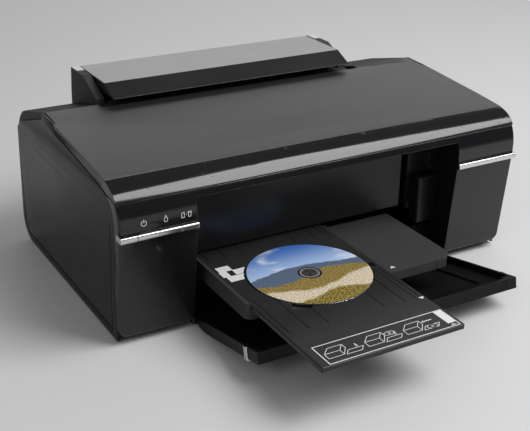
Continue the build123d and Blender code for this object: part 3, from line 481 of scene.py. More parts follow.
@dataclass(frozen=True)
class SupportPaint(Finish):
    """The paper support: silver on top, near-black on its front slope and below."""

    top_mm: float = 186.2
    slope_end_mm: float = 151.4

    def paint(self, shader: Shader) -> bpy.types.Material:
        """Two colours that meet along the front edge of the top."""
        _, y, z = shader.axes()
        silver = z.over(self.top_mm, 0.25) * y.over(self.slope_end_mm, 0.2)
        flakes = shader.cells(0.25)
        cloud = shader.noise(50.0, 3.0)
        bright = shader.mix(flakes * 0.5, (0.28, 0.28, 0.28), (0.44, 0.44, 0.44))
        dark = shader.mix(cloud * 0.5, (0.014, 0.014, 0.015), (0.026, 0.026, 0.027))
        fine = shader.noise(0.5, 3.0)
        return shader.surface(
            Base_Color=shader.mix(silver, dark, bright),
            Metallic=silver * 0.5,
            Roughness=0.30 + silver * 0.08 + (cloud - 0.5) * 0.08,
            Normal=shader.bump(fine, 0.01, shader.rounding(0.6)),
        )


@dataclass(frozen=True)
class Metal(Finish):
    """Plated or brushed metal."""

    colour: Colour = (0.55, 0.55, 0.54)
    dark: Colour = (0.40, 0.40, 0.40)
    roughness: float = 0.28
    brushed: tuple[float, float, float] = (0.04, 1.0, 1.0)
    line_mm: float = 0.35
    depth_mm: float = 0.006
    round_mm: float = 0.25

    def paint(self, shader: Shader) -> bpy.types.Material:
        """Metal with fine lines along one axis and cloudy plating."""
        lines = shader.noise(self.line_mm, 2.0, shader.stretched(self.brushed))
        cloud = shader.noise(14.0, 3.0)
        tone = shader.mix(lines * 0.5 + cloud * 0.5, self.colour, self.dark)
        return shader.surface(
            Base_Color=tone,
            Metallic=1.0,
            Roughness=self.roughness + (cloud - 0.5) * 0.10 + (lines - 0.5) * 0.10,
            Normal=shader.bump(lines, self.depth_mm, shader.rounding(self.round_mm)),
        )


@dataclass(frozen=True)
class Rubber(Finish):
    """Matt rubber with a ground surface."""

    colour: Colour = (0.022, 0.022, 0.023)
    dusty: Colour = (0.06, 0.058, 0.055)

    def paint(self, shader: Shader) -> bpy.types.Material:
        """Rubber with a fine ground grain and a little paper dust."""
        grain = shader.noise(0.3, 4.0)
        dust = shader.noise(6.0, 3.0)
        return shader.surface(
            Base_Color=shader.mix(dust.over(0.62, 0.1) * 0.6, self.colour, self.dusty),
            Roughness=0.72 + (grain - 0.5) * 0.2,
            Normal=shader.bump(grain, 0.03, shader.rounding(0.3)),
            IOR_Level=0.35,
        )


@dataclass(frozen=True)
class Board(Finish):
    """A circuit board with tracks under green lacquer."""

    lacquer: Colour = (0.008, 0.09, 0.035)
    track: Colour = (0.03, 0.20, 0.08)

    def paint(self, shader: Shader) -> bpy.types.Material:
        """Tracks that run along the board, with pads at their ends."""
        _, y, z = shader.axes()
        wander = shader.noise(9.0, 0.0, shader.stretched((1.0, 0.15, 1.0)))
        lanes = (((z + wander * 9.0) % 1.8) - 0.9).size()
        tracks = (1.0 - lanes.over(0.45, 0.1)) * shader.noise(16.0, 1.0).over(0.42, 0.02)
        pads = 1.0 - shader.cells(3.2).over(0.16, 0.03)
        green = shader.mix(tracks, self.lacquer, self.track)
        return shader.surface(
            Base_Color=shader.mix(pads, green, (0.62, 0.60, 0.50)),
            Metallic=pads * 0.9,
            Roughness=0.34 - tracks * 0.06,
            Normal=shader.bump(tracks + pads, 0.04, shader.rounding(0.2)),
        )


@dataclass(frozen=True)
class Felt(Finish):
    """Absorbent pad with ink that has soaked in at one end."""

    def paint(self, shader: Shader) -> bpy.types.Material:
        """Pale fibres with grey and blue-black ink stains."""
        x, _, _ = shader.axes()
        fibres = shader.noise(0.6, 5.0, distortion=1.5)
        stain = ((x * 0.02 + shader.noise(18.0, 3.0) * 3.0) - 1.2).over(1.4, 0.7)
        pale = shader.mix(fibres, (0.42, 0.41, 0.38), (0.62, 0.61, 0.57))
        return shader.surface(
            Base_Color=shader.mix(stain * 0.85, pale, (0.02, 0.02, 0.05)),
            Roughness=0.92,
            Normal=shader.bump(fibres, 0.35),
        )


@dataclass(frozen=True)
class InkShell(Finish):
    """Cartridge shells, each with its ink's colour on a band near the top."""

    left_mm: float = 101.0
    pitch_mm: float = 98.0 / 6.0
    inks: tuple[Colour, ...] = (
        (0.02, 0.02, 0.022),
        (0.01, 0.16, 0.45),
        (0.22, 0.42, 0.60),
        (0.50, 0.03, 0.16),
        (0.62, 0.28, 0.36),
        (0.72, 0.52, 0.03),
    )

    def paint(self, shader: Shader) -> bpy.types.Material:
        """Dark translucent-looking shells with coloured bands."""
        x, y, z = shader.axes()
        band = z.over(92.5, 0.2) * (1.0 - z.over(98.6, 0.2)) * (1.0 - y.over(135.0, 0.2))
        colour: object = self.inks[0]
        for n, ink in enumerate(self.inks[1:], start=1):
            colour = shader.mix(x.over(self.left_mm + n * self.pitch_mm, 0.2), colour, ink)
        grain = shader.noise(0.4, 3.0)
        shell = shader.mix(grain * 0.4, (0.03, 0.03, 0.033), (0.06, 0.06, 0.064))
        return shader.surface(
            Base_Color=shader.mix(band, shell, colour),
            Roughness=0.30 + band * 0.12 + (grain - 0.5) * 0.1,
            Normal=shader.bump(grain + band * 0.4, 0.02, shader.rounding(0.4)),
        )


@dataclass(frozen=True)
class DiscPicture(Finish):
    """A printed disc: a plain scene of sky, far hills and sand in soft bands."""

    centre_mm: Point = (-54.0, -92.0)
    clear_mm: float = 9.6
    print_from_mm: float = 11.4
    print_to_mm: float = 58.8
    print_above_mm: float = 57.5

    def _scene(self, shader: Shader, x: Value, y: Value) -> bpy.types.NodeSocket:
        """The picture itself.

        Args:
            shader: the tree.
            x: millimetres to the right of the disc's centre.
            y: millimetres above it.

        Returns:
            The picture's colour.
        """
        streak = shader.noise(30.0, 5.0, shader.stretched((0.5, 1.6, 1.0)), 0.6)
        sky = shader.mix(shader.ramp(y, 6.0, 58.0), (0.40, 0.55, 0.80), (0.045, 0.15, 0.50))
        sky = shader.mix(streak.over(0.58, 0.1) * 0.8, sky, (0.80, 0.84, 0.90))
        rough = shader.noise(7.0, 5.0)
        speckle = shader.noise(1.6, 5.0)
        far_line = 9.0 + (x * 0.045 + 2.0).wave() * 5.0 + rough * 5.0
        near_line = -7.0 + (x * 0.06 + 0.4).wave() * 6.5 + rough * 8.0
        sand_line = -25.0 + (x * 0.05 - 1.2).wave() * 7.0 + rough * 7.0
        last_line = -44.0 + (x * 0.08 + 1.0).wave() * 4.0 + rough * 8.0
        hills = shader.mix(speckle, (0.05, 0.09, 0.16), (0.16, 0.20, 0.26))
        grass = shader.mix(speckle.over(0.5, 0.2), (0.10, 0.075, 0.02), (0.45, 0.32, 0.10))
        sand = shader.mix(speckle.over(0.48, 0.2), (0.42, 0.31, 0.19), (0.85, 0.76, 0.60))
        brush = shader.mix(speckle.over(0.52, 0.15), (0.05, 0.05, 0.012), (0.50, 0.36, 0.09))
        picture = sky
        for line, colour, soft in (
            (far_line, hills, 1.0),
            (near_line, grass, 1.5),
            (sand_line, sand, 2.5),
            (last_line, brush, 2.0),
        ):
            picture = shader.mix((line - y).over(0.0, soft), picture, colour)
        return picture

    def paint(self, shader: Shader) -> bpy.types.Material:
        """The print, the clear hub ring and the mirror band beside it."""
        world_x, world_y, z = shader.axes()
        x = world_x - self.centre_mm[0]
        y = world_y - self.centre_mm[1]
        radius = (x * x + y * y) ** 0.5
        inside = 1.0 - radius.over(self.print_to_mm, 0.15)
        printed = radius.over(self.print_from_mm, 0.15) * inside
        printed = printed * z.over(self.print_above_mm, 0.05)
        clear = 1.0 - radius.over(self.clear_mm, 0.1)
        groove = (radius * 7.0).wave()
        silver = shader.mix(clear, (0.62, 0.63, 0.66), (0.30, 0.31, 0.33))
        return shader.surface(
            Base_Color=shader.mix(printed, silver, self._scene(shader, x, y)),
            Metallic=(1.0 - printed) * (1.0 - clear * 0.7),
            Roughness=0.16 + printed * 0.12,
            Normal=shader.bump(groove * (1.0 - printed), 0.01, shader.rounding(0.3)),
            Coat_Weight=0.35,
            Coat_Roughness=0.06,
        )


@dataclass(frozen=True)
class PrintedInk(Finish):
    """White signs printed on a moulding."""

    colour: Colour = (0.72, 0.72, 0.72)

    def paint(self, shader: Shader) -> bpy.types.Material:
        """Ink with small pinholes and an uneven film."""
        film = shader.noise(0.5, 4.0)
        patch = shader.noise(9.0, 2.0)
        worn = (film * 0.6 + patch * 0.4).over(0.66, 0.05)
        return shader.surface(
            Base_Color=shader.mix(worn * 0.5, self.colour, (0.30, 0.30, 0.31)),
            Roughness=0.42 + (film - 0.5) * 0.2,
            Normal=shader.bump(film, 0.01),
        )


class Finishes(Enum):
    """The finishes that this printer has."""

    GLOSS = Moulded(
        "polished_black", (0.008, 0.008, 0.009), (0.030, 0.030, 0.031), 0.12, 2.2, 0.004, 0.7, 0.5
    )
    SATIN = Moulded(
        "satin_black", (0.010, 0.010, 0.011), (0.040, 0.040, 0.041), 0.36, 0.45, 0.02, 0.5, 0.25
    )
    FLANK = Moulded(
        "flank_black", (0.008, 0.008, 0.009), (0.030, 0.030, 0.031), 0.32, 0.40, 0.015, 0.9, 0.14
    )
    FACIA = Moulded(
        "fascia_black", (0.010, 0.010, 0.011), (0.035, 0.035, 0.036), 0.24, 0.60, 0.010, 0.6, 0.3
    )
    TRAY = Moulded(
        "tray_grey", (0.022, 0.022, 0.023), (0.075, 0.075, 0.077), 0.36, 0.50, 0.03, 0.5, 0.3
    )
    COARSE = Moulded(
        "coarse_black", (0.011, 0.011, 0.012), (0.042, 0.042, 0.043), 0.52, 0.80, 0.05, 0.6, 0.25
    )
    LID = LidPlastic("lid_black")
    SUPPORT = SupportPaint("support_two_tone")
    SILVER = FlakePaint("silver_paint")
    CHROME = Metal(
        "trim_chrome",
        (0.72, 0.72, 0.73),
        (0.60, 0.60, 0.61),
        0.16,
        (0.05, 1.0, 1.0),
        0.3,
        0.003,
        0.9,
    )
    STEEL = Metal("zinc_steel")
    SHAFT = Metal(
        "ground_steel", (0.66, 0.66, 0.65), (0.5, 0.5, 0.5), 0.18, (1.0, 0.2, 0.2), 0.2, 0.003, 0.2
    )
    BRASS = Metal("brass", (0.70, 0.50, 0.20), (0.50, 0.34, 0.12), 0.25)
    RUBBER = Rubber("black_rubber")
    ROLLER = Rubber("roller_rubber", (0.05, 0.05, 0.055), (0.14, 0.135, 0.13))
    NYLON = Moulded(
        "acetal", (0.62, 0.60, 0.54), (0.72, 0.71, 0.68), 0.38, 0.9, 0.02, 0.3, 0.45
    )
    FILM = Moulded(
        "clear_film", (0.30, 0.31, 0.32), (0.42, 0.42, 0.43), 0.18, 3.0, 0.004, 0.1, 0.5
    )
    DISC = DiscPicture("printed_disc")
    BOARD = Board("circuit_board")
    FELT = Felt("ink_felt")
    INK = InkShell("ink_shell")
    WHITE = PrintedInk("white_print")

    def material(self) -> bpy.types.Material:
        """This finish's material."""
        return self.value.material()


# ---------------------------------------------------------------- building pieces
def add_piece(
    name: str,
    mesh: bpy.types.Mesh,
    finish: Finishes,
    body: str,
    smooth_deg: float = 35.0,
) -> bpy.types.Object:
    """Show a mesh as a piece of the object.

    Args:
        name: the piece's name.
        mesh: its mesh, in place.
        finish: its finish.
        body: the CAD body that it rides on.
        smooth_deg: edges flatter than this are shaded smooth.

    Returns:
        The piece.
    """
    mesh.name = name
    if not mesh.materials:
        mesh.materials.append(finish.material())
    piece = bpy.data.objects.new(name, mesh)
    bpy.context.scene.collection.objects.link(piece)
    mesh.polygons.foreach_set("use_smooth", [True] * len(mesh.polygons))
    mesh.set_sharp_from_angle(angle=math.radians(smooth_deg))
    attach(piece, body)
    log.info("%s on %s: %d faces", name, body, len(mesh.polygons))
    return piece


def mesh_from(form: bmesh.types.BMesh, name: str) -> bpy.types.Mesh:
    """Turn a bmesh into a clean mesh with outward faces.

    Args:
        form: the bmesh, which is freed.
        name: the mesh's name.

    Returns:
        The mesh.
    """
    bmesh.ops.remove_doubles(form, verts=form.verts, dist=1e-7)
    bmesh.ops.recalc_face_normals(form, faces=form.faces)
    mesh = bpy.data.meshes.new(name)
    form.to_mesh(mesh)
    form.free()
    return mesh


class Decal:
    """Thin flat shapes, drawn in millimetres and then laid on a surface."""

    def __init__(self, thickness_mm: float = 0.06) -> None:
        """Start with nothing drawn.

        Args:
            thickness_mm: how proud the shapes stand.
        """
        self.thickness_mm = thickness_mm
        self.strips: list[list[tuple[Point, Point]]] = []

    def stroke(self, points: Sequence[Point], width: float, closed: bool = False) -> None:
        """Draw a line of even width.

        Args:
            points: the corners of the line.
            width: its width.
            closed: whether it returns to its start.
        """
        count = len(points)
        pairs = []
        for n, here in enumerate(points):
            before = points[n - 1] if n or closed else None
            after = points[(n + 1) % count] if n + 1 < count or closed else None
            first = Vector(here) - Vector(before) if before is not None else None
            second = Vector(after) - Vector(here) if after is not None else None
            first = (first if first is not None else second).normalized()
            second = (second if second is not None else first).normalized()
            middle = (first + second).normalized()
            side = Vector((-middle.y, middle.x)) * (width / 2 / max(0.4, middle.dot(first)))
            left = (here[0] + side.x, here[1] + side.y)
            right = (here[0] - side.x, here[1] - side.y)
            pairs.append((left, right))
        if closed:
            pairs.append(pairs[0])
        self.strips.append(pairs)

    def arc(
        self, centre: Point, radius: float, width: float, start: float = 0.0, end: float = 360.0,
        steps: int = 28,
    ) -> None:
        """Draw part of a ring.

        Args:
            centre: its centre.
            radius: the line's radius.
            width: the line's width.
            start: where it starts, in degrees.
            end: where it ends, in degrees.
            steps: how many straight parts it has.
        """
        angles = [math.radians(start + (end - start) * n / steps) for n in range(steps + 1)]
        self.stroke(
            [(centre[0] + radius * math.cos(a), centre[1] + radius * math.sin(a)) for a in angles],
            width,
        )

    def fill(self, left: Sequence[Point], right: Sequence[Point]) -> None:
        """Fill the space between two lines that run side by side."""
        self.strips.append(list(zip(left, right)))

    def mesh(self, name: str, place: Place) -> bpy.types.Mesh:
        """Lay everything that was drawn on a surface.

        Args:
            name: the mesh's name.
            place: gives the point for a place on the drawing and a height above it.

        Returns:
            The mesh.
        """
        form = bmesh.new()
        for pairs in self.strips:
            rows = []
            for first, second in pairs:
                rows.append([
                    form.verts.new(place(*first, self.thickness_mm)),
                    form.verts.new(place(*second, self.thickness_mm)),
                    form.verts.new(place(*second, 0.0)),
                    form.verts.new(place(*first, 0.0)),
                ])
            for here, there in zip(rows, rows[1:]):
                for n in range(4):
                    m = (n + 1) % 4
                    form.faces.new((here[n], here[m], there[m], there[n]))
            if pairs[0] != pairs[-1]:
                form.faces.new(rows[0][::-1])
                form.faces.new(rows[-1])
        return mesh_from(form, name)


class Skin:
    """The outside of some pieces, on which other things are laid."""

    def __init__(self, *pieces: bpy.types.Object) -> None:
        """Gather the pieces' faces.

        Args:
            pieces: CAD nodes' objects or finished pieces.
        """
        corners: list[Vector] = []
        faces: list[list[int]] = []
        for piece in pieces:
            mesh = piece.data
            start = len(corners)
            corners += [vertex.co.copy() for vertex in mesh.vertices]
            faces += [[start + n for n in face.vertices] for face in mesh.polygons]
        self.tree = BVHTree.FromPolygons(corners, faces)

    def hit(self, start_mm: Sequence[float], way: Sequence[float]) -> tuple[Vector, Vector]:
        """The first point that a ray meets.

        Args:
            start_mm: where the ray starts.
            way: its direction.

        Returns:
            The point and its normal.
        """
        point, normal, _, _ = self.tree.ray_cast(Vector(start_mm) * MM, Vector(way))
        if point is None:
            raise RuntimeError(f"nothing in front of {tuple(start_mm)}")
        return point, normal

    def seen_from(self, depth_mm: float, way: Sequence[float], axes: str) -> Place:
        """A way to lay a drawing on the skin as seen along an axis.

        Args:
            depth_mm: where the rays start on the third axis.
            way: the rays' direction.
            axes: the drawing's two axes, such as xz.

        Returns:
            The place function for a Decal.
        """
        order = ["xyz".index(letter) for letter in axes]
        third = 3 - sum(order)

        def place(u: float, v: float, lift: float) -> Vector:
            start = [0.0, 0.0, 0.0]
            start[order[0]], start[order[1]], start[third] = u, v, depth_mm
            point, normal = self.hit(start, way)
            return point + normal * (lift * MM)

        return place


class Repeat:
    """Geometry Nodes that set one small shape on every given point."""

    def __init__(
        self, name: str, shape: bpy.types.Mesh, finish: Finishes, size: float = 1.0
    ) -> None:
        """Make the shape's object and start with no copies; the node tree is made when the copies
        are built.
            shape: the shape, about its own origin, facing +Z.
            finish: its finish.
            size: a scale for every copy.
        """
        self.name = name
        self.finish = finish
        self.size = size
        self.shape = bpy.data.objects.new(name + "_shape", shape)
        self.spots: list[tuple[Vector, Vector, float]] = []

    def add(
        self, point_mm: Sequence[float], facing: Sequence[float], turn_deg: float = 0.0
    ) -> None:
        """Add one copy.

        Args:
            point_mm: its place.
            facing: the direction that its +Z takes.
            turn_deg: how far it is turned about that.
        """
        self.spots.append((Vector(point_mm) * MM, Vector(facing), math.radians(turn_deg)))

    def _tree(self) -> tuple[bpy.types.NodeTree, dict[str, str]]:
        """The node tree and its inputs' identifiers by name."""
        tree = bpy.data.node_groups.new(self.name + "_nodes", "GeometryNodeTree")
        graph = Graph(tree)
        face = tree.interface
        face.new_socket("Points", in_out="INPUT", socket_type="NodeSocketGeometry")
        sockets = {
            "Shape": face.new_socket("Shape", in_out="INPUT", socket_type="NodeSocketObject"),
            "Size": face.new_socket("Size", in_out="INPUT", socket_type="NodeSocketFloat"),
            "Finish": face.new_socket("Finish", in_out="INPUT", socket_type="NodeSocketMaterial"),
        }
        face.new_socket("Pieces", in_out="OUTPUT", socket_type="NodeSocketGeometry")
        given = graph.node("NodeGroupInput").outputs
        shape = graph.node("GeometryNodeObjectInfo", None, {"Object": given["Shape"]})
        facing = graph.node(
            "GeometryNodeInputNamedAttribute", {"data_type": "FLOAT_VECTOR"}, {"Name": "facing"}
        )
        turn = graph.node(
            "GeometryNodeInputNamedAttribute", {"data_type": "FLOAT"}, {"Name": "turn"}
        )
        aimed = graph.node(
            "FunctionNodeAlignRotationToVector", {"axis": "Z"}, {"Vector": facing.outputs[0]}
        )
        spin = graph.node(
            "FunctionNodeAxisAngleToRotation",
            None,
            {"Axis": (0.0, 0.0, 1.0), "Angle": turn.outputs[0]},
        )
        turned = graph.node(
            "FunctionNodeRotateRotation",
            {"rotation_space": "LOCAL"},
            {"Rotation": aimed.outputs[0], "Rotate By": spin.outputs[0]},
        )
        placed = graph.node(
            "GeometryNodeInstanceOnPoints",
            None,
            {
                "Points": given["Points"],
                "Instance": shape.outputs["Geometry"],
                "Rotation": turned.outputs[0],
                "Scale": given["Size"],
            },
        )
        real = graph.node("GeometryNodeRealizeInstances", None, {0: placed.outputs[0]})
        dressed = graph.node(
            "GeometryNodeSetMaterial",
            None,
            {"Geometry": real.outputs[0], "Material": given["Finish"]},
        )
        graph.node("NodeGroupOutput", None, {0: dressed.outputs[0]})
        return tree, {name: socket.identifier for name, socket in sockets.items()}

    def build(self, body: str, slot: str) -> bpy.types.Object:
        """Make every copy as one piece.

        Args:
            body: the CAD body that it rides on.
            slot: the record's material slot; not used.

        Returns:
            The piece.
        """
        points = bpy.data.meshes.new(self.name + "_points")
        points.from_pydata([spot for spot, _, _ in self.spots], [], [])
        facing = points.attributes.new("facing", "FLOAT_VECTOR", "POINT")
        facing.data.foreach_set("vector", [c for _, way, _ in self.spots for c in way])
        turn = points.attributes.new("turn", "FLOAT", "POINT")
        turn.data.foreach_set("value", [angle for _, _, angle in self.spots])
        holder = bpy.data.objects.new(self.name + "_holder", points)
        collection = bpy.context.scene.collection.objects
        collection.link(holder)
        collection.link(self.shape)
        tree, names = self._tree()
        modifier = holder.modifiers.new("repeat", "NODES")
        modifier.node_group = tree
        modifier[names["Shape"]] = self.shape
        modifier[names["Size"]] = self.size
        modifier[names["Finish"]] = self.finish.material()
        graph = bpy.context.evaluated_depsgraph_get()
        mesh = bpy.data.meshes.new_from_object(holder.evaluated_get(graph))
        holder.modifiers.remove(modifier)
        for helper in (holder, self.shape):
            bpy.data.objects.remove(helper)
        for attribute in ("facing", "turn"):
            if attribute in mesh.attributes:
                mesh.attributes.remove(mesh.attributes[attribute])
        return add_piece(self.name, mesh, self.finish, body)


def dress(finish: Finishes, *nodes: str) -> None:
    """Give CAD nodes a finish.

    Args:
        finish: the finish.
        nodes: the nodes' names.
    """
    for name in nodes:
        node = frame["nodes"][name]
        for number in range(len(node.data.materials)):
            node.data.materials[number] = finish.material()
        log.info("%s dressed in %s", name, finish.value.name)


def moulding(
    node: str,
    finish: Finishes,
    body: str,
    edge_mm: float = 0.5,
    nose: "Nose | None" = None,
) -> bpy.types.Object:
    """A piece in a CAD node's place, with eased edges and, where it has one, the true nose.

    Args:
        node: the node that it stands for.
        finish: its finish.
        body: the CAD body that it rides on.
        edge_mm: how much of each edge is rounded off.
        nose: the nose that it is fitted to.

    Returns:
        The piece.
    """
    form = bmesh.new()
    form.from_mesh(frame["nodes"][node].data)
    bmesh.ops.remove_doubles(form, verts=form.verts, dist=1e-6)
    bmesh.ops.dissolve_limit(
        form, angle_limit=math.radians(0.5), verts=form.verts, edges=form.edges
    )
    if nose:
        for (y, z), (dy, dz) in nose.cuts():
            bmesh.ops.bisect_plane(
                form,
                geom=form.verts[:] + form.edges[:] + form.faces[:],
                plane_co=Vector((0.0, y, z)) * MM,
                plane_no=(0.0, dy, dz),
            )
        for vertex in form.verts:
            vertex.co = nose(vertex.co / MM) * MM
    mesh = bpy.data.meshes.new(node + "_skin")
    form.to_mesh(mesh)
    form.free()
    draft = bpy.data.objects.new(node + "_draft", mesh)
    bpy.context.scene.collection.objects.link(draft)
    bevel = draft.modifiers.new("edges", "BEVEL")
    bevel.width = edge_mm * MM
    bevel.segments = 2
    bevel.limit_method = "ANGLE"
    bevel.angle_limit = math.radians(40.0)
    bevel.use_clamp_overlap = True
    bevel.harden_normals = False
    graph = bpy.context.evaluated_depsgraph_get()
    skin = bpy.data.meshes.new_from_object(draft.evaluated_get(graph))
    bpy.data.objects.remove(draft)
    skin.materials.clear()
    piece = add_piece(node + "_skin", skin, finish, body, 32.0)
    if nose:
        nose.shade(piece)
    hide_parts(node)
    return piece


@dataclass
class Nose:
    """The nose's true rounding, laid over the CAD's by sliding its skin along it."""

    shape_mm: tuple[Point, ...] = (
        (-19.0, 158.05), (-23.0, 157.4), (-28.0, 156.25), (-33.0, 154.6), (-36.2, 153.1),
        (-39.0, 151.3), (-41.4, 149.3), (-43.5, 147.0), (-45.2, 144.9), (-46.5, 142.9),
        (-48.0, 140.0), (-49.2, 137.0), (-50.35, 133.5), (-51.2, 130.0), (-51.7, 126.5),
        (-52.0, 121.0),
    )
    seam_at: int = 9
    cad_bend_mm: Point = (-19.0, 158.05)
    cad_seam_mm: Point = (-48.6, 144.9)
    measured_at_x_mm: float = -190.0
    lowest_z_mm: float = 121.25
    step_mm: float = 0.5
    heights: int = 74
    seam_half_gap_mm: float = 0.5
    steps_above: int = 40
    steps_below: int = 24
    rear_y_mm: float = -12.0
    low_z_mm: float = 115.0
    rim_mm: float = 4.0
    fade_mm: float = 12.0
    blend_mm: float = 1.2
    shade_blend_mm: float = 1.0
    shade_reach_mm: float = 0.9
    shade_front_of_y_mm: float = -20.0
    shade_from_z_mm: float = 121.0
    pairs: list[tuple[Point, Point]] = field(default_factory=list)

    def __post_init__(self) -> None:
        """Measure the CAD's outline, and set the true one against it."""
        skin = Skin(frame["nodes"]["printer_cover"], frame["nodes"]["front_housing"])
        bend_y, _ = self.cad_bend_mm
        heights = [self.lowest_z_mm + self.step_mm * n for n in range(self.heights)]
        cast = [self.cad_bend_mm]
        for z in reversed(heights):
            if abs(z - self.cad_seam_mm[1]) > self.seam_half_gap_mm:
                y = skin.hit((self.measured_at_x_mm, -120.0, z), (0, 1, 0))[0].y / MM
                if y < bend_y - self.step_mm:
                    cast.append((y, z))
        seam = min(range(len(cast)), key=lambda n: math.dist(cast[n], self.cad_seam_mm))
        above, below = self.shape_mm[: self.seam_at + 1], self.shape_mm[self.seam_at :]
        self.pairs += self._matched(cast[: seam + 1], above, self.steps_above)
        self.pairs += self._matched(cast[seam:], below, self.steps_below)[1:]

    @staticmethod
    def _walk(line: Sequence[Point], steps: int) -> list[Point]:
        """Points at even distances along a line.

        Args:
            line: the line's corners.
            steps: how many parts it is divided into.

        Returns:
            The points, one more than the parts.
        """
        lengths = [0.0]
        for here, there in zip(line, line[1:]):
            lengths.append(lengths[-1] + math.dist(here, there))
        points = []
        for n in range(steps + 1):
            goal = lengths[-1] * n / steps
            k = max(1, next((i for i, d in enumerate(lengths) if d >= goal - 1e-9), len(line) - 1))
            share = (goal - lengths[k - 1]) / (lengths[k] - lengths[k - 1])
            points.append(tuple(a + (b - a) * share for a, b in zip(line[k - 1], line[k])))
        return points

    def _matched(
        self, cast: Sequence[Point], shape: Sequence[Point], steps: int
    ) -> list[tuple[Point, Point]]:
        """Pairs of places on the CAD's outline and on the true one."""
        return list(zip(self._walk(cast, steps), self._walk(shape, steps)))

    def cuts(self) -> list[tuple[Point, Point]]:
        """Places and directions at which a mesh is cut, so that it can bend there.

        Returns:
            Pairs of a place and a direction, each as Y and Z.
        """
        return [((y, 0.0), (1.0, 0.0)) for y in range(-48, -19, 1)] + [
            ((0.0, z), (0.0, 1.0)) for z in range(123, 151, 2)
        ]

    def shade(self, piece: bpy.types.Object) -> None:
        """Light the nose by its outline's own slope, so that its gloss runs unbroken.

        Args:
            piece: the finished piece.
        """
        true = [pair[1] for pair in self.pairs]
        ways = []
        for n in range(len(true)):
            here, there = true[max(0, n - 3)], true[min(len(true) - 1, n + 3)]
            ways.append(Vector((0.0, there[1] - here[1], here[0] - there[0])).normalized())
        mesh = piece.data
        normals = [Vector((0.0, 0.0, 0.0)) for _ in mesh.loops]
        for face in mesh.polygons:
            behind = face.center.y > self.shade_front_of_y_mm * MM
            if abs(face.normal.x) > 0.2 or behind or face.center.z < self.shade_from_z_mm * MM:
                continue
            for loop in face.loop_indices:
                spot = mesh.vertices[mesh.loops[loop].vertex_index].co / MM
                gaps = [math.dist(place, (spot.y, spot.z)) for place in true]
                if min(gaps) > self.shade_reach_mm:
                    continue
                weights = [math.exp(-((gap / self.shade_blend_mm) ** 2)) for gap in gaps]
                way = sum((w * v for w, v in zip(weights, ways)), Vector()).normalized()
                if way.dot(face.normal) > 0.85:
                    normals[loop] = way
        mesh.normals_split_custom_set([tuple(normal) for normal in normals])

    def __call__(self, place: Vector) -> Vector:
        """Slide a point with the outline that it is near.

        Args:
            place: a point in millimetres.

        Returns:
            The new point.
        """
        if place.y > self.rear_y_mm or place.z < self.low_z_mm:
            return place
        here = (place.y, place.z)
        near = min(self.pairs, key=lambda pair: math.dist(pair[0], here))
        spread = [
            (math.exp(-((math.dist(cad, near[0]) / self.blend_mm) ** 2)), cad, true)
            for cad, true in self.pairs
        ]
        total = sum(weight for weight, _, _ in spread)
        shift = [sum(w * (true[k] - cad[k]) for w, cad, true in spread) / total for k in (0, 1)]
        deep = (math.dist(near[0], here) - self.rim_mm) / (self.fade_mm - self.rim_mm)
        keep = 1.0 - min(1.0, max(0.0, deep))
        return place + Vector((0.0, shift[0], shift[1])) * keep


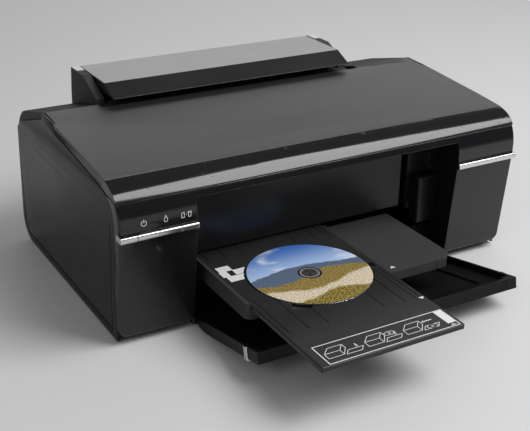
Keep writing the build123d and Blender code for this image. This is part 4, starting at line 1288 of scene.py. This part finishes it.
# ---------------------------------------------------------------- sub-assemblies
@dataclass
class Casing:
    """The outside: pods, flanks, lid and rear, with their signs and screws."""

    sign_height_mm: float = 123.6
    sign_line_mm: float = 0.55
    sign_centres_mm: tuple[float, float, float] = (-201.5, -180.5, -160.5)
    screw_head_mm: float = 2.9
    rear_screws_mm: tuple[Point, ...] = (
        (-212, 40), (212, 40), (-212, 110), (212, 110), (-100, 36), (100, 36)
    )
    floor_screws_mm: tuple[Point, ...] = (
        (-180, 30), (180, 30), (-180, 170), (180, 170), (0, 170)
    )
    front: bpy.types.Object | None = None

    def dress(self) -> None:
        """Give the casing's CAD nodes their finishes."""
        nose = Nose()
        self.front = moulding("front_housing", Finishes.GLOSS, "printer", 0.4, nose)
        for side in ("left", "right"):
            moulding(side + "_side_panel", Finishes.FLANK, "printer", 0.3, nose)
        dress(Finishes.COARSE, "lower_housing", "rear_housing")
        moulding("printer_cover", Finishes.LID, "cover", 0.5, nose)
        dress(Finishes.FACIA, "fascia", "recess_end_panel", "recess_end_block")
        dress(Finishes.CHROME, "pod_trims", "power_button", "ink_button", "paper_button")
        dress(Finishes.NYLON, "button_carrier")
        dress(Finishes.RUBBER, "feet")
        dress(Finishes.COARSE, "mains_inlet")
        dress(Finishes.STEEL, "usb_socket")

    def signs(self) -> None:
        """Generic signs for power, ink and paper above the three buttons."""
        power, ink, paper = self.sign_centres_mm
        z, line = self.sign_height_mm, self.sign_line_mm
        decal = Decal(0.05)
        decal.arc((power, z), 2.5, line, 115.0, 425.0)
        decal.stroke([(power, z + 0.3), (power, z + 3.3)], line)
        drop = [(ink, z + 3.2)]
        for n in range(19):
            angle = math.radians(35.0 - 250.0 * n / 18)
            drop.append((ink + 1.75 * math.cos(angle), z - 0.9 + 1.75 * math.sin(angle)))
        decal.stroke(drop, line, closed=True)
        sheet = [(-1.3, -2.4), (1.3, -2.4), (1.3, 2.4), (-0.3, 2.4), (-1.3, 1.3)]
        decal.stroke([(paper - 3.4 + u, z + v) for u, v in sheet], line, closed=True)
        decal.arc((paper - 0.1, z), 0.25, line * 0.8, 0.0, 360.0, 10)
        bin_side = [(-1.5, 1.5), (-1.1, -2.4), (1.1, -2.4), (1.5, 1.5)]
        decal.stroke([(paper + 3.2 + u, z + v) for u, v in bin_side], line, closed=True)
        decal.stroke([(paper + 1.2, z + 2.3), (paper + 5.2, z + 2.3)], line)
        place = Skin(self.front).seen_from(-120.0, (0, 1, 0), "xz")
        mesh = decal.mesh("button_signs", place)
        add_piece("button_signs", mesh, Finishes.WHITE, "printer")

    def screws(self) -> None:
        """Cross-head screws in the rear housing and the underside."""
        screws = Repeat("case_screws", screw_mesh(self.screw_head_mm), Finishes.STEEL)
        rear = Skin(frame["nodes"]["rear_housing"])
        for n, (x, z) in enumerate(self.rear_screws_mm):
            point, _ = rear.hit((x, 300, z), (0, -1, 0))
            screws.add(point / MM, (0, 1, 0), 23.0 * n)
        floor = Skin(frame["nodes"]["lower_housing"])
        for n, (x, y) in enumerate(self.floor_screws_mm):
            point, _ = floor.hit((x, y, -20), (0, 0, 1))
            screws.add(point / MM, (0, 0, -1), 31.0 * n)
        screws.build("printer", "steel")


def screw_mesh(radius: float) -> bpy.types.Mesh:
    """A domed screw head with a cross recess.

    Args:
        radius: the head's radius in millimetres.

    Returns:
        Its mesh, standing on its origin and facing +Z.
    """
    arm, hub, floor, crown = 0.62 * radius, 0.17 * radius, 0.18, 0.38
    dome = 0.62
    form = bmesh.new()
    cross = []
    for quarter in range(4):
        angle = math.pi / 2 * quarter
        for u, v in ((arm, -hub), (arm, hub), (hub, hub)):
            cross.append((
                u * math.cos(angle) - v * math.sin(angle),
                u * math.sin(angle) + v * math.cos(angle),
            ))
    rings = [[(x * 0.7, y * 0.7, floor) for x, y in cross], [(x, y, dome) for x, y in cross]]
    for scale, height in ((0.80, crown + 0.12), (0.96, 0.30), (1.0, 0.0)):
        ring = []
        for x, y in cross:
            angle = math.atan2(y, x)
            reach = radius * scale
            ring.append((reach * math.cos(angle), reach * math.sin(angle), height))
        rings.append(ring)
    rows = [[form.verts.new(Vector(p) * MM) for p in ring] for ring in rings]
    count = len(cross)
    for low, high in zip(rows, rows[1:]):
        for n in range(count):
            m = (n + 1) % count
            form.faces.new((low[n], low[m], high[m], high[n]))
    form.faces.new(rows[0])
    form.faces.new(rows[-1][::-1])
    return mesh_from(form, "screw_head")


@dataclass
class DiscPath:
    """The disc tray, the guide that it slides in, the disc and their printed marks."""

    tray_top_mm: float = 57.0
    guide_top_mm: float = 51.6
    label_mm: tuple[float, float, float, float] = (-122.5, -231.0, 10.0, -203.5)
    disc_centre_mm: Point = (-54.0, -92.0)
    disc_radius_mm: float = 60.0

    def dress(self) -> None:
        """Give the CAD nodes their finishes."""
        dress(Finishes.TRAY, "disc_tray")
        dress(Finishes.SATIN, "disc_guide", "disc_hub", "guide_rails")
        dress(Finishes.DISC, "disc")

    def _flat(self, z: float) -> Place:
        """Lay a drawing on a level surface.

        Args:
            z: the surface's height.

        Returns:
            The place function.
        """
        return lambda u, v, lift: Vector((u, v, z + lift)) * MM

    def _loading_picture(self, decal: Decal, x: float, y: float, stage: int) -> None:
        """Draw one plain picture of a box with a tray.

        Args:
            decal: what to draw on.
            x: the picture's left end.
            y: its lower edge.
            stage: 0 for an open tray, 1 for a disc over the tray, 2 for a disc in it.
        """
        line = 0.55
        box = [(0, 4), (0, 11), (7, 18), (21, 18), (21, 12), (15, 4)]
        decal.stroke([(x + u, y + v) for u, v in box], line, closed=True)
        decal.stroke([(x, y + 11), (x + 15, y + 11), (x + 21, y + 18)], line)
        decal.stroke([(x + 15, y + 11), (x + 15, y + 4)], line)
        tray = [(x + 17, y + 3), (x + 32, y + 3), (x + 36, y + 8), (x + 21, y + 8)]
        decal.stroke(tray, line, closed=True)
        if stage > 0:
            high = y + (5.5 if stage == 2 else 13.5)
            ellipse = [
                (x + 27 + 5.4 * math.cos(angle), high + 2.6 * math.sin(angle))
                for angle in (math.tau * n / 24 for n in range(24))
            ]
            decal.stroke(ellipse, line, closed=True)
            decal.arc((x + 27, high), 0.9, line, steps=12)
        if stage < 2:
            decal.stroke([(x + 31, y + 14), (x + 31, y + 10)], 1.1)
            decal.fill(
                [(x + 29.4, y + 11), (x + 31, y + 8.8)], [(x + 32.6, y + 11), (x + 31.01, y + 8.8)]
            )
        else:
            decal.stroke([(x + 24, y + 15), (x + 33, y + 15)], 1.1)
            decal.fill(
                [(x + 24.5, y + 13.4), (x + 22, y + 15)],
                [(x + 24.5, y + 16.6), (x + 22, y + 15.01)],
            )

    def label(self) -> None:
        """The framed row of loading pictures along the tray's front edge."""
        left, low, right, high = self.label_mm
        decal = Decal(0.05)
        decal.stroke([(left, low), (right, low), (right, high), (left, high)], 0.9, closed=True)
        for stage in range(3):
            self._loading_picture(decal, left + 3.5 + stage * 39.5, low + 3.0, stage)
        inner, outer, foot, head = right - 8.6, right - 0.6, low + 5.5, high - 0.6
        decal.fill([(inner, foot), (inner, head)], [(outer, foot), (outer, head)])
        wedge = [(right - 7.5, low + 1.6), (right - 5.4, low + 4.2), (right - 3.2, low + 1.6)]
        decal.stroke(wedge, 0.6, closed=True)
        add_piece(
            "tray_label", decal.mesh("tray_label", self._flat(self.tray_top_mm)), Finishes.WHITE,
            "disc_carrier",
        )

    def position_marks(self) -> None:
        """The white sensor mark beside the disc, and the triangles that line up."""
        mark = Decal(0.05)
        edge = []
        for y in (-52.4, -57.0, -62.0, -67.5, -73.2):
            reach = math.sqrt((self.disc_radius_mm + 1.6) ** 2 - (y - self.disc_centre_mm[1]) ** 2)
            edge.append((self.disc_centre_mm[0] - reach, y))
        mark.fill([(-127.8, -42.4), (-127.8, -52.4)], [(-114.2, -42.4), (-114.2, -52.4)])
        mark.fill([(-128.8, -52.4), (-128.8, -63.0)], [(-121.0, -52.4), (-121.0, -63.0)])
        mark.fill([(-126.4, -63.0), (-126.4, -73.2)], [(-121.0, -63.0), (-121.0, -73.2)])
        mark.fill([(-115.0, y) for _, y in edge[:3]], edge[:3])
        mark.fill(
            [(-121.0, -62.8), (-121.0, -67.5), (-121.0, -73.2)],
            [(edge[2][0], -62.8), edge[3], edge[4]],
        )
        add_piece(
            "sensor_mark", mark.mesh("sensor_mark", self._flat(self.tray_top_mm)), Finishes.WHITE,
            "disc_carrier",
        )
        arrow = Decal(0.05)
        arrow.fill([(6.4, -177.2), (9.4, -181.0)], [(12.4, -177.2), (9.41, -181.0)])
        add_piece(
            "tray_arrow", arrow.mesh("tray_arrow", self._flat(self.tray_top_mm)), Finishes.WHITE,
            "disc_carrier",
        )
        level = Decal(0.05)
        level.fill([(25.0, -111.6), (28.0, -107.8)], [(31.0, -111.6), (28.01, -107.8)])
        add_piece(
            "guide_arrow", level.mesh("guide_arrow", self._flat(self.guide_top_mm)), Finishes.WHITE,
            "guide",
        )


@dataclass
class Trays:
    """The output tray with its extension, and the paper support over the feeder."""

    def dress(self) -> None:
        """Give the CAD nodes their finishes."""
        dress(Finishes.FLANK, "output_tray", "tray_extension")
        dress(Finishes.CHROME, "tray_trim")
        dress(Finishes.SHAFT, "tray_hinge_pins")
        dress(Finishes.SUPPORT, "paper_support")
        dress(Finishes.SILVER, "support_hinge_caps")
        dress(Finishes.SATIN, "sheet_feeder", "support_extension", "hopper_plate", "edge_guide")
        dress(Finishes.ROLLER, "pickup_roller")


@dataclass
class Mechanism:
    """The frame, the carriage with its ink, the paper drive and the electronics."""

    belt_z_mm: float = 110.0
    belt_y_mm: float = 161.0
    pulley_x_mm: float = 188.0
    belt_inside_mm: float = 7.3

    def dress(self) -> None:
        """Give the CAD nodes their finishes."""
        dress(Finishes.STEEL, "main_frame", "carriage_motor", "feed_motor", "print_head")
        dress(Finishes.SHAFT, "carriage_shaft", "star_wheels")
        dress(Finishes.SATIN, "carriage", "cartridge_hatch", "platen")
        dress(Finishes.SATIN, "pinch_holder", "star_wheel_bar")
        dress(Finishes.COARSE, "capping_station", "power_supply")
        dress(Finishes.INK, "ink_cartridges")
        dress(Finishes.RUBBER, "timing_belt")
        dress(Finishes.NYLON, "drive_pulley", "idler_pulley")
        dress(Finishes.NYLON, "feed_gear", "idler_gear", "exit_gear")
        dress(Finishes.BRASS, "motor_pinion")
        dress(Finishes.FILM, "encoder_strip")
        dress(Finishes.ROLLER, "feed_roller", "exit_roller", "pinch_rollers")
        dress(Finishes.FELT, "waste_pad")
        dress(Finishes.BOARD, "circuit_boards")

    def belt_teeth(self) -> None:
        """Teeth along the inside of the belt's two straight runs."""
        form = bmesh.new()
        half = [(-0.55, 0.0), (-0.42, 0.5), (-0.2, 0.7), (0.2, 0.7), (0.42, 0.5), (0.55, 0.0)]
        rows = [[form.verts.new(Vector((u, y, w)) * MM) for u, w in half] for y in (-2.8, 2.8)]
        for n in range(len(half)):
            m = (n + 1) % len(half)
            form.faces.new((rows[0][n], rows[0][m], rows[1][m], rows[1][n]))
        form.faces.new(rows[0][::-1])
        form.faces.new(rows[1])
        teeth = Repeat("belt_teeth", mesh_from(form, "belt_tooth"), Finishes.RUBBER)
        count = int(2 * self.pulley_x_mm / 2.0) - 7
        for n in range(count):
            x = -self.pulley_x_mm + 8.0 + n * 2.0
            for side in (-1, 1):
                z = self.belt_z_mm + side * self.belt_inside_mm
                teeth.add((x, self.belt_y_mm, z), (0.0, 0.0, -side))
        teeth.build("printer", "rubber")


# ---------------------------------------------------------------- studio
@dataclass(frozen=True)
class Camera:
    """The photograph's viewpoint."""

    place: tuple[float, float, float] = (-0.5212, -0.8024, 0.5029)
    azimuth_deg: float = 30.4605
    elevation_deg: float = 24.5433
    roll_deg: float = 1.0923
    lens_mm: float = 69.96
    sensor_mm: float = 36.0

    def build(self) -> None:
        """Make the camera and set it as the scene's."""
        azimuth, elevation, roll = (
            math.radians(a) for a in (self.azimuth_deg, self.elevation_deg, self.roll_deg)
        )
        ahead = Vector((
            math.sin(azimuth) * math.cos(elevation),
            math.cos(azimuth) * math.cos(elevation),
            -math.sin(elevation),
        ))
        right = Vector((math.cos(azimuth), -math.sin(azimuth), 0.0))
        up = right.cross(ahead)
        level_right = right * math.cos(roll) + up * math.sin(roll)
        level_up = up * math.cos(roll) - right * math.sin(roll)
        data = bpy.data.cameras.new("photo_camera")
        data.sensor_fit = "HORIZONTAL"
        data.sensor_width = self.sensor_mm
        data.lens = self.lens_mm
        data.clip_start = 0.05
        camera = bpy.data.objects.new("photo_camera", data)
        turn = Matrix((level_right, level_up, -ahead)).transposed()
        camera.matrix_world = Matrix.Translation(self.place) @ turn.to_4x4()
        bpy.context.scene.collection.objects.link(camera)
        bpy.context.scene.camera = camera


@dataclass(frozen=True)
class Lamp:
    """A softbox that looks at the printer."""

    name: str
    place: tuple[float, float, float]
    size: tuple[float, float]
    power: float

    def build(self) -> None:
        """Make the lamp."""
        data = bpy.data.lights.new(self.name, "AREA")
        data.shape = "RECTANGLE"
        data.size, data.size_y = self.size
        data.energy = self.power
        lamp = bpy.data.objects.new(self.name, data)
        aim = Vector((0.0, 0.0, 0.08)) - Vector(self.place)
        turn = aim.to_track_quat("-Z", "Y").to_matrix().to_4x4()
        lamp.matrix_world = Matrix.Translation(self.place) @ turn
        bpy.context.scene.collection.objects.link(lamp)


@dataclass(frozen=True)
class Studio:
    """A plain pale floor and background with soft light."""

    floor_half: float = 6.0
    floor_tone: Colour = (0.62, 0.62, 0.62)
    background: Colour = (0.50, 0.50, 0.505)
    ambient: Colour = (0.30, 0.30, 0.31)
    reflected: Colour = (0.06, 0.06, 0.062)
    lamps: tuple[Lamp, ...] = field(default=(
        Lamp("overhead_softbox", (0.85, -0.75, 1.55), (1.2, 1.2), 34.0),
        Lamp("rear_softbox", (1.1, 1.7, 1.0), (2.6, 0.9), 8.0),
        Lamp("left_softbox", (-1.6, -0.9, 1.2), (0.7, 0.7), 4.0),
    ))

    def build(self) -> None:
        """Make the floor, the background and the lamps."""
        shader = Shader("studio_floor")
        cloud = shader.noise(900.0, 1.0)
        material = shader.surface(
            Base_Color=shader.mix(cloud * 0.2, self.floor_tone, (0.66, 0.66, 0.66)),
            Roughness=0.6,
            IOR_Level=0.3,
        )
        form = bmesh.new()
        bmesh.ops.create_grid(form, x_segments=1, y_segments=1, size=self.floor_half)
        floor = bpy.data.objects.new("studio_floor", mesh_from(form, "studio_floor"))
        floor.data.materials.append(material)
        bpy.context.scene.collection.objects.link(floor)
        world = bpy.data.worlds.new("studio_world")
        world.use_nodes = True
        bpy.context.scene.world = world
        graph = Graph(world.node_tree)
        path = graph.node("ShaderNodeLightPath").outputs
        lit = graph.node(
            "ShaderNodeMix",
            {"data_type": "RGBA"},
            {0: path["Is Glossy Ray"], 6: self.ambient, 7: self.reflected},
        )
        colour = graph.node(
            "ShaderNodeMix",
            {"data_type": "RGBA"},
            {0: path["Is Camera Ray"], 6: lit.outputs[2], 7: self.background},
        )
        sky = graph.node(
            "ShaderNodeBackground", None, {"Color": colour.outputs[2], "Strength": 1.0}
        )
        graph.node("ShaderNodeOutputWorld", None, {"Surface": sky.outputs[0]})
        for lamp in self.lamps:
            lamp.build()
        bpy.context.scene.view_settings.view_transform = "Standard"


def main() -> None:
    """Build the studio and every sub-assembly."""
    Camera().build()
    Studio().build()
    casing = Casing()
    casing.dress()
    casing.signs()
    casing.screws()
    path = DiscPath()
    path.dress()
    path.label()
    path.position_marks()
    Trays().dress()
    mechanism = Mechanism()
    mechanism.dress()
    mechanism.belt_teeth()


if __name__ == "__main__":
    logging.basicConfig(level=logging.INFO, format="%(name)s: %(message)s")
    main()
